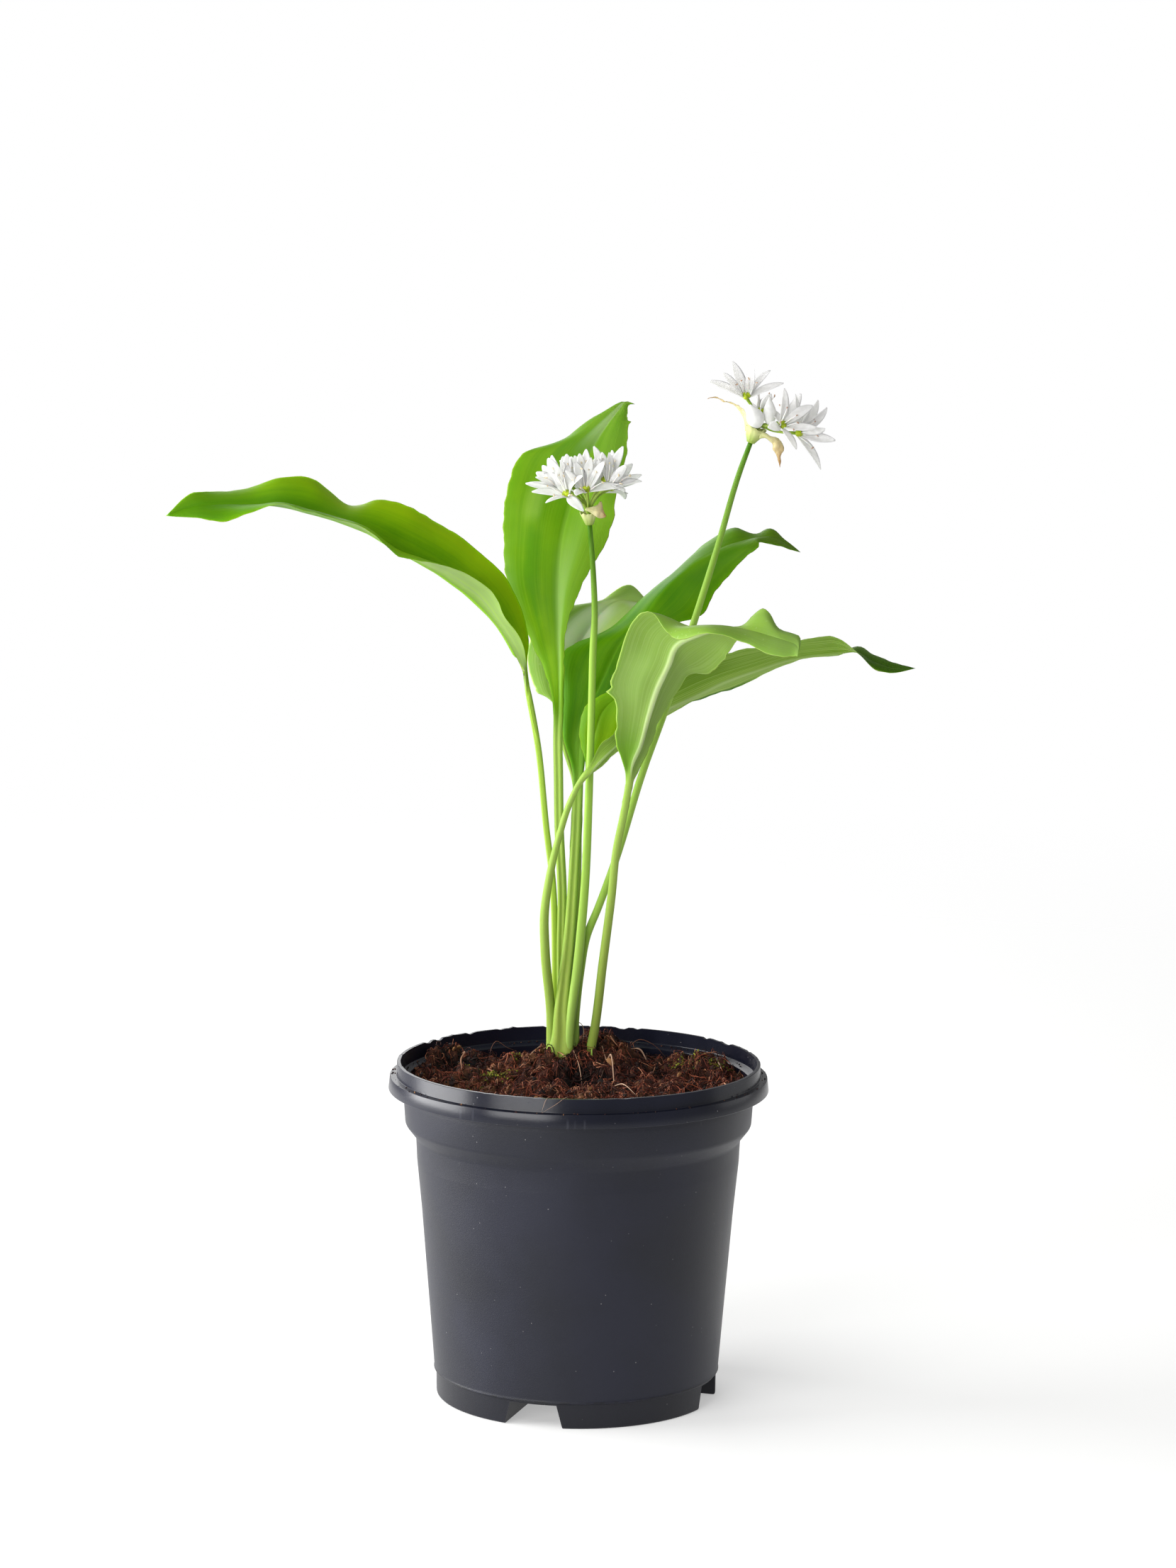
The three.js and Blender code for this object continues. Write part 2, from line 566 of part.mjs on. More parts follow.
// Flower heads. Florets and buds are given from the top of the stalk: foot is where the pedicel ends,
// and face is the way the flower opens. Bracts are blades like those of the leaves.
const heads = [
  {
    florets: [
      { foot: [-5.3, -5, 10.4], face: [-0.4, -0.65, 0.85], spread: 60 },
      { foot: [-7.4, -3.5, 9], face: [-0.65, -0.5, 0.85], spread: 62 },
      { foot: [-0.4, -6.5, 10.8], face: [0, -0.75, 0.85], spread: 60 },
      { foot: [6.4, -4, 12.2], face: [0.45, -0.6, 0.85], spread: 58 },
      { foot: [6.8, 1.5, 13.4], face: [0.55, 0, 0.9], spread: 60 },
      { foot: [4, 6, 12.5], face: [0.35, 0.6, 0.8], spread: 58 },
      { foot: [-1.5, 7, 12.5], face: [-0.1, 0.7, 0.8], spread: 58 },
      { foot: [-6, 4.5, 12.5], face: [-0.4, 0.5, 0.9], spread: 58 },
      { foot: [-7.6, 0.5, 11.8], face: [-0.65, -0.1, 0.9], spread: 60 },
      { foot: [1, -0.5, 15], face: [0.05, -0.35, 1], spread: 44 },
    ],
    buds: [],
    bracts: [
      {
        foot: [0.5, -0.6, 2],
        blade: [
          [[1.6, -2.4, 2.6], [2.3, -1.4, 2.6], [2.3, 0.6, 2.6]],
          [[3.2, -3.4, 3.4], [4.2, -1.6, 3.9], [4.4, 0.6, 5.2]],
          [[5.2, -3.8, 1.8], [5.8, -2, 3.2], [5.6, 0.2, 6]],
        ],
        tip: [7.6, -2.6, 2],
      },
    ],
  },
  {
    florets: [
      { foot: [-1.9, -2.5, 14.4], face: [-0.3, -0.6, 1], spread: 64 },
      { foot: [10, -4, 6.6], face: [0.7, -0.6, 0.3], spread: 65 },
      { foot: [18, -0.5, 3.6], face: [1, -0.1, -0.1], spread: 58 },
      { foot: [3.5, 3.5, 13], face: [0.5, 0.3, 0.9], spread: 58 },
      { foot: [12, 5.5, 9.5], face: [0.6, 0.6, 0.6], spread: 58 },
    ],
    buds: [
      { foot: [2.3, -2.6, 6], face: [-0.38, -0.2, 1], width: 5.2, length: 8.6 },
      { foot: [6.3, -1.5, 7.2], face: [0, -0.1, 1], width: 4.8, length: 9.3 },
    ],
    bracts: [
      {
        foot: [0, 0, 1],
        blade: [
          [[-0.9, -1.9, 2.8], [-1.7, 0, 2.9], [-0.9, 1.9, 3]],
          [[-2.6, -1.5, 6.6], [-2.8, 0.5, 6.4], [-2.4, 2.1, 6.6]],
          [[-4.9, -1.2, 11.4], [-4.3, 0.6, 11.9], [-4.6, 2.2, 11.8]],
          [[-8.1, -0.4, 13.8], [-8.1, 0.6, 14], [-8.1, 1.6, 13.8]],
        ],
        tip: [-14.4, 0.6, 15.4],
      },
      {
        foot: [0, 0, 1],
        blade: [
          [[2.2, 2.6, 3], [3.3, 1.2, 2.6], [3, -0.6, 2.2]],
          [[5, 4, 3.6], [5.6, 2.2, 3.2], [5, 0.4, 2.2]],
          [[8, 4, 1.6], [8, 2, 1.2], [6.8, 0.2, -0.2]],
          [[10.3, 3.4, -2], [9.4, 2.2, -2.6], [8.4, 1.2, -3]],
        ],
        tip: [9.6, 1.8, -7.6],
      },
    ],
  },
];

// Turns a shape built along +Z to face a way, with its foot at a point
function placed(foot, face, spin) {
  const turn = new THREE.Quaternion().setFromUnitVectors(at([0, 0, 1]), at(face).normalize());
  const roll = new THREE.Quaternion().setFromAxisAngle(at([0, 0, 1]), spin);
  return new THREE.Matrix4().compose(foot, turn.multiply(roll), at([1, 1, 1]));
}

// Six tepals cut to their ribs in one thin star, which is split into triangles alike on both faces
function starGeometry(spread) {
  const lean = radians(spread);
  const out = at([Math.sin(lean), 0, Math.cos(lean)]);
  const up = at([-Math.cos(lean), 0, Math.sin(lean)]);
  const vertical = at([0, 0, 1]);
  const sides = [[], []];
  const add = (share, aside, lift, turn) => {
    const point = out.clone().multiplyScalar(share * tepalLength).addScaledVector(up, lift);
    point.y = (aside * tepalWidth) / 2;
    const normal = share ? up : vertical;
    sides.forEach((side, i) => {
      const stand = (0.5 - i) * bladeThickness;
      side.push(point.clone().addScaledVector(normal, stand).applyAxisAngle(vertical, turn));
    });
  };
  const sector = Math.PI / 3;
  add(0, 0, 0, 0);
  for (let k = 0; k < 6; k++) {
    add(0.13, 0, 0, (k - 0.5) * sector);
    add(0.45, -1, 0.5, k * sector);
    add(0.45, 0, 0, k * sector);
    add(0.45, 1, 0.5, k * sector);
    add(1, 0, 0.8, k * sector);
  }
  const under = sides[0].length;
  const index = [];
  const face = (a, b, c) => index.push(a, b, c, under + a, under + c, under + b);
  const edge = (a, b) => index.push(a, under + a, under + b, a, under + b, b);
  for (let k = 0; k < 6; k++) {
    const [notch, left, rib, right, tip] = [1, 2, 3, 4, 5].map((i) => 5 * k + i);
    const nextNotch = 5 * ((k + 1) % 6) + 1;
    face(0, notch, nextNotch);
    face(notch, left, rib);
    face(notch, rib, nextNotch);
    face(nextNotch, rib, right);
    face(left, tip, rib);
    face(rib, tip, right);
    edge(notch, left);
    edge(left, tip);
    edge(tip, right);
    edge(right, nextNotch);
  }
  const geometry = new THREE.BufferGeometry();
  const position = sides.flat().flatMap((p) => p.toArray());
  geometry.setAttribute('position', new THREE.Float32BufferAttribute(position, 3));
  geometry.setIndex(index);
  return geometry;
}

// A closed bud, widest low down and drawn to a point
function budGeometry({ width, length }) {
  const profile = [[0, 0], [0.25, 0.02], [0.5, 0.32], [0.44, 0.55], [0.2, 0.88], [0, 1]];
  return turned(profile.map(([r, z]) => [r * width, z * length]), 8);
}

// The way a scape points at its top, which the flower head follows
function topAxis(scape) {
  const [before, top] = scape.points.slice(-2).map(at);
  return top.sub(before).normalize();
}

// A pedicel from the knob on the stalk, up inside the spathe's cup and out to its flower
function pedicel(base, axis, end) {
  const start = base.clone().addScaledVector(axis, 1);
  const bend = base.clone().addScaledVector(axis, cupHeight).add(end.clone().sub(base).multiplyScalar(0.08));
  const path = [start, bend, bend.clone().lerp(end, 0.5), end].map((p) => p.toArray());
  return tube(path, [pedicelRadius, pedicelRadius], pedicelSides, 3);
}

// All that a flower head carries, as one body: a knob, the pedicels, the ovaries, the tepals and the buds
function makeHead(scape, head) {
  const base = at(scape.points.at(-1));
  const axis = topAxis(scape);
  const knob = turned([[0, 0.4], [0.8, 0.4], [1.1, 0.9], [0.8, 1.7], [0, 1.9]], 8);
  const parts = [solidOf(knob.applyMatrix4(placed(base, axis.toArray(), 0)))];
  head.florets.forEach(({ foot, face, spread }, i) => {
    const end = base.clone().add(at(foot));
    const place = placed(end, face, radians(17 * i));
    const ovary = new THREE.SphereGeometry(ovaryRadius, 6, 4).rotateX(Math.PI / 2).translate(0, 0, ovaryRadius);
    const beyond = end.clone().addScaledVector(at(face).normalize(), 0.2);
    parts.push(pedicel(base, axis, beyond));
    parts.push(solidOf(ovary.applyMatrix4(place)), solidOf(starGeometry(spread).applyMatrix4(place)));
  });
  for (const bud of head.buds) {
    const end = base.clone().add(at(bud.foot));
    const beyond = end.clone().addScaledVector(at(bud.face).normalize(), 0.8);
    parts.push(pedicel(base, axis, beyond));
    parts.push(solidOf(budGeometry(bud).applyMatrix4(placed(end, bud.face, 0))));
  }
  return joined(parts);
}

// The spathe: a thin cup round the foot of the pedicels that runs out into papery bracts
function makeSpathe(scape, head) {
  const base = at(scape.points.at(-1));
  const foot = (scape.radii.at(-1) + fit) / Math.cos(Math.PI / holeSides);
  const wall = bladeThickness;
  const cup = turned(
    [
      [foot, -cupDrop], [foot + wall, -cupDrop], [cupRadius - 0.9, 1.5], [cupRadius, cupHeight - 0.2],
      [cupRadius - wall, cupHeight], [cupRadius - 0.9 - wall, 1.6], [foot, 0], [foot, -cupDrop],
    ],
    holeSides
  );
  const parts = [solidOf(cup.applyMatrix4(placed(base, topAxis(scape).toArray(), 0)))];
  const move = (p) => at(p).add(base).toArray();
  for (const { foot: root, blade, tip } of head.bracts) {
    parts.push(bladeSolid({ foot: move(root), blade: blade.map((row) => row.map(move)), tip: move(tip) }));
  }
  return joined(parts);
}

// The tip of a new shoot beside the stems
function makeShoot() {
  const { radius, height } = shoot;
  const profile = [[0, stemFoot], [radius, stemFoot], [radius, height - 3], [0.4 * radius, height - 0.5], [0, height]];
  return solidOf(turned(profile, stalkSides).translate(shoot.x, shoot.y, 0));
}

// Plain holes in the soil for everything that stands in it
function stemHoles() {
  const stems = [
    ...Object.values(leaves).map((leaf) => leaf.stalk[0]),
    ...scapes.map((scape) => [...scape.points[0], scape.radii[0]]),
    [shoot.x, shoot.y, stemFoot, shoot.radius],
  ];
  const depth = 2 * (soilLevel - stemFoot) + 10;
  return joined(
    stems.map(([x, y, foot, radius]) => {
      const reach = (radius + fit) / Math.cos(Math.PI / holeSides);
      const hole = new THREE.CylinderGeometry(reach, reach, depth, holeSides).rotateX(Math.PI / 2);
      return solidOf(hole.translate(x, y, foot - fit + depth / 2));
    })
  );
}

const group = new THREE.Group();
group.add(named('pot', makePot(), finishes.pot));
group.add(named('soil', makeSoil(stemHoles()), finishes.soil));
for (const [name, leaf] of Object.entries(leaves)) {
  group.add(named(name, bladeSolid(leaf), finishes[leaf.finish]));
}
scapes.forEach((scape, i) => {
  const stem = tube(scape.points, scape.radii, stalkSides, 20);
  group.add(named('scape_' + (i + 1), stem, finishes.stalk));
  group.add(named('flower_head_' + (i + 1), makeHead(scape, heads[i]), finishes.tepal));
  group.add(named('spathe_' + (i + 1), makeSpathe(scape, heads[i]), finishes.spathe));
});
group.add(named('new_shoot', makeShoot(), finishes.leafPale));

export default group;
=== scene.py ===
import math
import random

import bmesh
import bpy
from mathutils import Matrix, Quaternion, Vector, noise


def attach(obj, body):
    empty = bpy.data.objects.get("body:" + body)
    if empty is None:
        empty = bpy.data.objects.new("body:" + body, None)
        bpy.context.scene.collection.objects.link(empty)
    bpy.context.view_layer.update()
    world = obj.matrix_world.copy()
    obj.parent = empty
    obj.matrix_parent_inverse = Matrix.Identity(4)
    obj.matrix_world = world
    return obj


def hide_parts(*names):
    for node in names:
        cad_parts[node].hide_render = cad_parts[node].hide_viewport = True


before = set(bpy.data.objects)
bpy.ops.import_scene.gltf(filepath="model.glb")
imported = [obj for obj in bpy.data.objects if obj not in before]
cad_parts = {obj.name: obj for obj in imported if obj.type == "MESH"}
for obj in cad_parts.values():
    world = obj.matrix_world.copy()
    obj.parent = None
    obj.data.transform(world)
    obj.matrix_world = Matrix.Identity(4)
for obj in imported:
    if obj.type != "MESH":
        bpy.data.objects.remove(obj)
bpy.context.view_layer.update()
print("frame loaded:", len(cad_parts), "nodes")

# Potted wild garlic: a nursery pot of moist compost, seven leaves, two flower heads and a new shoot.
# Sizes are in millimetres until a piece's mesh is made. +Z is up and -Y is the front.
mm = 0.001
fullTurn = 2 * math.pi
weld = 0.01  # points of a turned body that are closer than this become one
fineWeld = 0.002  # the same for the pieces that makePiece finishes
white = (1, 1, 1, 1)


# A colour from its levels of red, green and blue, 0 to 255
def tint(*levels):
    shares = [level / 255 for level in levels]
    light = [share / 12.92 if share < 0.04045 else ((share + 0.055) / 1.055) ** 2.4 for share in shares]
    return (*light, 1)


def smooth(low, high, value):
    share = min(max((value - low) / (high - low), 0), 1)
    return share * share * (3 - 2 * share)


# 1 at no distance, falling away on both sides
def bell(distance):
    return math.exp(-(distance ** 2))


def between(pair, share):
    return pair[0] + (pair[1] - pair[0]) * share


# A number between the evenly spaced numbers of a list
def along(numbers, share):
    seat = share * (len(numbers) - 1)
    low = min(int(seat), len(numbers) - 2)
    return between(numbers[low:low + 2], seat - low)


# A number or colour in a finish; sums and products of these add Math nodes
class Value:
    def __init__(self, finish, socket):
        self.finish = finish
        self.socket = socket

    def __add__(self, other):
        return self.finish.math("ADD", self, other)

    def __radd__(self, other):
        return self.finish.math("ADD", other, self)

    def __sub__(self, other):
        return self.finish.math("SUBTRACT", self, other)

    def __rsub__(self, other):
        return self.finish.math("SUBTRACT", other, self)

    def __mul__(self, other):
        return self.finish.math("MULTIPLY", self, other)

    def __rmul__(self, other):
        return self.finish.math("MULTIPLY", other, self)


# A material: the shader's own sockets hold what is the same all over, nodes feed what varies
class Finish:
    def __init__(self, name, constants):
        self.material = bpy.data.materials.new(name)
        self.material.use_nodes = True
        self.tree = self.material.node_tree
        self.shader = self.tree.nodes["Principled BSDF"]
        for socket, value in constants.items():
            self.shader.inputs[socket].default_value = value

    # Any node: its settings go in first, then the values or links of its sockets
    def node(self, kind, settings=None, sockets=None, out=0):
        made = self.tree.nodes.new(kind)
        for key, value in (settings or {}).items():
            if key == "stops":
                stops = made.color_ramp.elements
                while len(stops) < len(value):
                    stops.new(0.5)
                for stop, (position, colour) in zip(stops, value):
                    stop.position = position
                    stop.color = colour
            else:
                setattr(made, key, value)
        for key, value in (sockets or {}).items():
            self.feed(made.inputs[key], value)
        return Value(self, made.outputs[out])

    def feed(self, socket, value):
        if isinstance(value, Value):
            self.tree.links.new(value.socket, socket)
        else:
            socket.default_value = value

    def math(self, operation, a, b=0.0):
        return self.node("ShaderNodeMath", {"operation": operation}, {0: a, 1: b})

    # How far a number is from another
    def apart(self, value, other):
        return self.math("ABSOLUTE", value - other)

    def place(self):
        return self.node("ShaderNodeTexCoord", out="Object")

    def parts(self, vector):
        split = self.node("ShaderNodeSeparateXYZ", None, {0: vector})
        return [Value(self, socket) for socket in split.socket.node.outputs]

    def vector(self, x, y, z=0.0):
        return self.node("ShaderNodeCombineXYZ", None, {0: x, 1: y, 2: z})

    # What a piece's points carry under a name
    def mark(self, name):
        return self.node("ShaderNodeAttribute", {"attribute_name": name}, out="Fac")

    def cloud(self, vector, scale, detail=2.0, roughness=0.5):
        sockets = {"Vector": vector, "Scale": scale, "Detail": detail, "Roughness": roughness}
        return self.node("ShaderNodeTexNoise", None, sockets)

    # 0 below low, 1 above high and soft between; low may be the larger one
    def step(self, value, low, high):
        sockets = {"Value": value, "From Min": low, "From Max": high}
        return self.node("ShaderNodeMapRange", {"interpolation_type": "SMOOTHSTEP"}, sockets)

    def mix(self, share, a, b):
        return self.node("ShaderNodeMix", {"data_type": "RGBA"}, {0: share, 6: a, 7: b}, 2)

    def ramp(self, share, stops):
        return self.node("ShaderNodeValToRGB", {"stops": stops}, {"Fac": share})

    def bump(self, height, distance, strength=1.0):
        sockets = {"Height": height, "Distance": distance, "Strength": strength}
        return self.node("ShaderNodeBump", None, sockets)

    def finish(self, **links):
        names = {"colour": "Base Color", "roughness": "Roughness", "normal": "Normal"}
        for key, value in links.items():
            self.feed(self.shader.inputs[names[key]], value)
        return self


# A skin wound round a row of rings of points: a grid whose last column closes on its first.
# Marks are numbers that each point carries, under the names of layers that the bmesh has.
def wind(bm, rings, marks=None):
    turns = len(rings[0])
    layers = [(bm.verts.layers.float[name], values) for name, values in (marks or {}).items()]
    made = bmesh.ops.create_grid(bm, x_segments=turns, y_segments=len(rings) - 1, size=1)["verts"]
    for k, vert in enumerate(made):
        i, j = divmod(k, turns + 1)
        vert.co = rings[i][j % turns] * mm
        for layer, values in layers:
            vert[layer] = values[i][j % turns]


# An empty bmesh whose points can carry the named marks
def newBody(*marks):
    bm = bmesh.new()
    for mark in marks:
        bm.verts.layers.float.new(mark)
    return bm


# Merges the seams, closes open ends, turns the faces outwards and puts the piece in the scene
def makePiece(name, bm, finish, nodes=(), crease=None):
    bmesh.ops.remove_doubles(bm, verts=bm.verts, dist=fineWeld * mm)
    bmesh.ops.holes_fill(bm, edges=[e for e in bm.edges if e.is_boundary])
    bmesh.ops.recalc_face_normals(bm, faces=bm.faces)
    mesh = bpy.data.meshes.new(name)
    bm.to_mesh(mesh)
    bm.free()
    showPiece(name, mesh, finish, nodes, crease)


# Puts a finished mesh in the scene; edges sharper than crease, in degrees, are not shaded soft
def showPiece(name, mesh, finish, nodes=(), crease=None):
    mesh.shade_smooth()
    if crease is not None:
        mesh.set_sharp_from_angle(angle=math.radians(crease))
    mesh.materials.clear()
    mesh.materials.append(finish.material)
    piece = bpy.data.objects.new(name, mesh)
    bpy.context.scene.collection.objects.link(piece)
    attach(piece, "root")
    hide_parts(*nodes)


# A smooth way through points, with the same number of steps from each point to the next
def wayThrough(points, steps):
    rows = smoothRows([[Vector(p)] for p in points], lambda gap: steps)[0]
    return [row[0] for row in rows]


# Finer rows through a list of rows of points. Each column is a smooth curve, timed by the middle column.
# The second result tells for each fine row how far it lies along the list.
def smoothRows(rows, stepsIn):
    middle = len(rows[0]) // 2
    last = len(rows) - 1
    gaps = [(rows[i + 1][middle] - rows[i][middle]).to_3d().length for i in range(last)]

    def slope(i, j):
        if i == 0:
            return (rows[1][j] - rows[0][j]) / gaps[0]
        if i == last:
            return (rows[last][j] - rows[last - 1][j]) / gaps[-1]
        near, far = gaps[i - 1], gaps[i]
        ahead = (rows[i + 1][j] - rows[i][j]) * (near / far)
        behind = (rows[i][j] - rows[i - 1][j]) * (far / near)
        return (ahead + behind) / (near + far)

    slopes = [[slope(i, j) for j in range(len(rows[0]))] for i in range(last + 1)]
    fine, seats = [], []
    for i in range(last):
        steps = stepsIn(gaps[i])
        for k in range(steps + (i == last - 1)):
            t = k / steps
            a, b = (1 + 2 * t) * (1 - t) ** 2, t * t * (3 - 2 * t)
            c, d = t * (1 - t) ** 2 * gaps[i], t * t * (t - 1) * gaps[i]
            pairs = zip(rows[i], rows[i + 1], slopes[i], slopes[i + 1])
            fine.append([p * a + q * b + m * c + n * d for p, q, m, n in pairs])
            seats.append(i + t)
    return fine, seats


# The way the upper face points at each place of a grid
def gridNormals(points):
    last = len(points[0]) - 1
    found = []
    for i, row in enumerate(points):
        near, far = points[max(i - 1, 0)], points[min(i + 1, len(points) - 1)]
        ways = []
        for j in range(last + 1):
            over = row[min(j + 1, last)] - row[max(j - 1, 0)]
            ways.append(over.cross(far[j] - near[j]).normalized())
        found.append(ways if i < len(points) - 1 else found[-1])
    return found


# One ring from an upper row and the way back along a lower row, which share their ends
def ringOf(upper, lower):
    return upper + lower[-2:0:-1]


# Rings of a round stem along a way; lobes are soft edges along it, and depth is their share of the radius
def stemRings(way, radii, sides, lobes=0, depth=0.0):
    rings = []
    side = Vector((1, 0, 0))
    for i, point in enumerate(way):
        ahead = (way[min(i + 1, len(way) - 1)] - way[max(i - 1, 0)]).normalized()
        side = (side - ahead * side.dot(ahead)).normalized()
        over = ahead.cross(side)
        radius = along(radii, i / (len(way) - 1))
        ring = []
        for j in range(sides):
            turn = fullTurn * j / sides
            reach = radius * (1 + depth * math.cos(lobes * turn))
            ring.append(point + (side * math.cos(turn) + over * math.sin(turn)) * reach)
        rings.append(ring)
    return rings


# Camera and light
view = {
    "place": (2.3, -1500, 428),
    "pitch": 8.2,  # degrees down
    "roll": 0.51,
    "focal": 6300,  # pixels, of a picture 2212 pixels high
    "height": 2212,
    "sensor": 36,
    "clip": (50, 50000),
}
studio = {
    "floor": 1500,
    "floorSides": 96,
    "floorTint": (212, 212, 211),
    "fade": (300, 1400),  # the floor passes into the sky between these distances
    "glow": 0.4,
    "sky": 0.33,  # light of the room; the sky itself looks white
    "lamps": [  # place, target, width and height, power
        ((-1300, 100, 360), (0, 0, 140), (1100, 720), 29),
        ((-800, -1150, 370), (0, 0, 110), (950, 480), 11),
        ((-450, -800, 1500), (0, 0, 260), (1100, 1100), 9),
        ((1500, 500, 450), (0, 0, 120), (900, 900), 2),
        ((-500, 1400, 900), (0, 0, 180), (1100, 1100), 8),
    ],
}


def makeCamera():
    data = bpy.data.cameras.new("camera")
    data.sensor_fit = "VERTICAL"
    data.sensor_height = view["sensor"]
    data.lens = view["focal"] / view["height"] * view["sensor"]
    data.clip_start, data.clip_end = [distance * mm for distance in view["clip"]]
    camera = bpy.data.objects.new("camera", data)
    level = Matrix.Rotation(math.radians(90 - view["pitch"]), 4, "X")
    roll = Matrix.Rotation(math.radians(view["roll"]), 4, "Z")
    camera.matrix_world = Matrix.Translation(Vector(view["place"]) * mm) @ level @ roll
    bpy.context.scene.collection.objects.link(camera)
    bpy.context.scene.camera = camera


# Plain soft light: a white sky whose light is weaker than it looks, and wide lamps
def makeStudio():
    scene = bpy.context.scene
    scene.view_settings.view_transform = "Standard"
    world = bpy.data.worlds.new("studio")
    scene.world = world
    world.use_nodes = True
    nodes, links = world.node_tree.nodes, world.node_tree.links
    seen = nodes.new("ShaderNodeLightPath")
    strength = nodes.new("ShaderNodeMapRange")
    strength.inputs["To Min"].default_value = studio["sky"]
    strength.inputs["To Max"].default_value = 1
    links.new(seen.outputs["Is Camera Ray"], strength.inputs["Value"])
    links.new(strength.outputs["Result"], nodes["Background"].inputs["Strength"])
    nodes["Background"].inputs["Color"].default_value = white
    for i, (place, target, size, power) in enumerate(studio["lamps"]):
        data = bpy.data.lights.new(f"lamp{i + 1}", "AREA")
        data.shape = "RECTANGLE"
        data.size, data.size_y = size[0] * mm, size[1] * mm
        data.energy = power
        lamp = bpy.data.objects.new(data.name, data)
        lamp.location = Vector(place) * mm
        lamp.rotation_euler = (Vector(target) - Vector(place)).to_track_quat("-Z", "Y").to_euler()
        scene.collection.objects.link(lamp)


# A round white floor that fades out into the sky
def makeFloor():
    bm = bmesh.new()
    bmesh.ops.create_circle(bm, cap_ends=True, segments=studio["floorSides"], radius=studio["floor"] * mm)
    mesh = bpy.data.meshes.new("floor")
    bm.to_mesh(mesh)
    bm.free()
    paper = Finish("floorPaper", {
        "Base Color": tint(*studio["floorTint"]), "Roughness": 0.8, "Specular IOR Level": 0.1,
        "Emission Color": white, "Emission Strength": studio["glow"],
    })
    x, y = paper.parts(paper.place())[:2]
    away = paper.math("SQRT", x * x + y * y)
    near, far = studio["fade"]
    paper.feed(paper.shader.inputs["Alpha"], paper.step(away, far * mm, near * mm))
    mesh.materials.append(paper.material)
    floor = bpy.data.objects.new("floor", mesh)
    bpy.context.scene.collection.objects.link(floor)


makeCamera()
makeStudio()
makeFloor()
print("camera, lamps and floor are set")

# Pot: one thin moulding, turned round the Z axis, with raised channels between its four feet
pot = {
    "outside": [  # radius and height, from the middle of the underside to the top of the lip
        (0, 0), (48.2, 0), (48.3, 8.5), (49.2, 8.9), (49, 9.8), (50.7, 31), (53.5, 65), (55.2, 82),
        (55.6, 90.2), (59.3, 94.9), (59.9, 104), (59.9, 109), (63.9, 109.6), (63.9, 106.7),
        (65.1, 106.7), (64.6, 111.3), (62.2, 111.2), (62.2, 116), (0, 116),
    ],
    "inside": [
        (0, 1.2), (46.6, 1.2), (47.2, 9.5), (49.5, 31), (52.3, 65), (54, 82), (54.4, 90.8),
        (58.1, 95.2), (58.5, 109.9), (61, 111), (61, 117), (0, 117),
    ],
    "softOutside": (1, 8, 9),  # points of the outside that softCorner rounds; softEdge rounds the others
    "softInside": (1, 6, 7),
    "softCorner": 0.8,
    "softEdge": 0.3,
    "softSteps": 3,
    "steps": 240,
    "crease": 28,
    "wall": 1.2,
    "channels": 4,
    "turn": -17.5,
    "channelHeight": 8,
    "channelHalf": (10.25, 8.2),  # at the ground and at the roof
    "channelStart": 18,
    "channelReach": 60,
    "channelBelow": 1,  # how far the cutting blocks go below the ground
    "drain": 4.5,
    "drainAt": 34,
    "drainCut": 10,
    "drainSides": 32,
    "lip": (60, 0.6),  # inner radius of the lip, and height of its rough band
    "nick": 0.55,
    "nickScale": 17,
    "burr": 0.5,
    "burrScale": 34,
    "ledges": [(62.6, 64.7, 111.2), (59.3, 60.7, 110.7)],  # inner and outer radius and height
    "wallTop": (107.2, 106.2),  # heights at which the grain of the wall starts and is full
    "footShadeTop": (9, 8.4),  # the same for the painted shade that darkens the foot
    "seam": 9.2,
    "seamHalf": (0.5, 0.1),  # half widths at which the darker seam line starts and is full
    "scuffs": [  # rubbed places on the front: x, height, half of width and height, strength
        (-3.4, 107.4, 0.7, 2.8, 0.8), (-1, 107.6, 0.5, 2.4, 0.4), (2.2, 107.4, 0.6, 2.8, 0.7),
        (-39, 108.4, 0.7, 2.6, 0.6), (-34.8, 108.8, 0.5, 2.6, 0.5), (41, 104.5, 0.3, 1.5, 0.5),
    ],
}


# Spins all that a bmesh holds once round the Z axis
def spinRound(bm, steps):
    axis = {"cent": (0, 0, 0), "axis": (0, 0, 1), "angle": fullTurn, "use_merge": True}
    bmesh.ops.spin(bm, geom=bm.verts[:] + bm.edges[:], steps=steps, **axis)
    bmesh.ops.remove_doubles(bm, verts=bm.verts, dist=weld * mm)


# A turned body from a profile; the points listed in wide are rounded more than the others
def turnProfile(bm, profile, wide):
    verts = [bm.verts.new(Vector((r, 0, z)) * mm) for r, z in profile]
    for pair in zip(verts, verts[1:]):
        bm.edges.new(pair)
    bevel = {
        "offset_type": "OFFSET", "segments": pot["softSteps"], "profile": 0.5, "affect": "VERTICES",
        "material": -1, "clamp_overlap": True,
    }
    bmesh.ops.bevel(bm, geom=[verts[i] for i in wide], offset=pot["softCorner"] * mm, **bevel)
    thin = [v for i, v in enumerate(verts[1:-1], 1) if i not in wide and v.is_valid]
    bmesh.ops.bevel(bm, geom=thin, offset=pot["softEdge"] * mm, **bevel)
    spinRound(bm, pot["steps"])
    bmesh.ops.recalc_face_normals(bm, faces=bm.faces)


def channelTurns():
    return [Matrix.Rotation(math.radians(pot["turn"] + 360 / pot["channels"] * i), 4, "Z")
            for i in range(pot["channels"])]


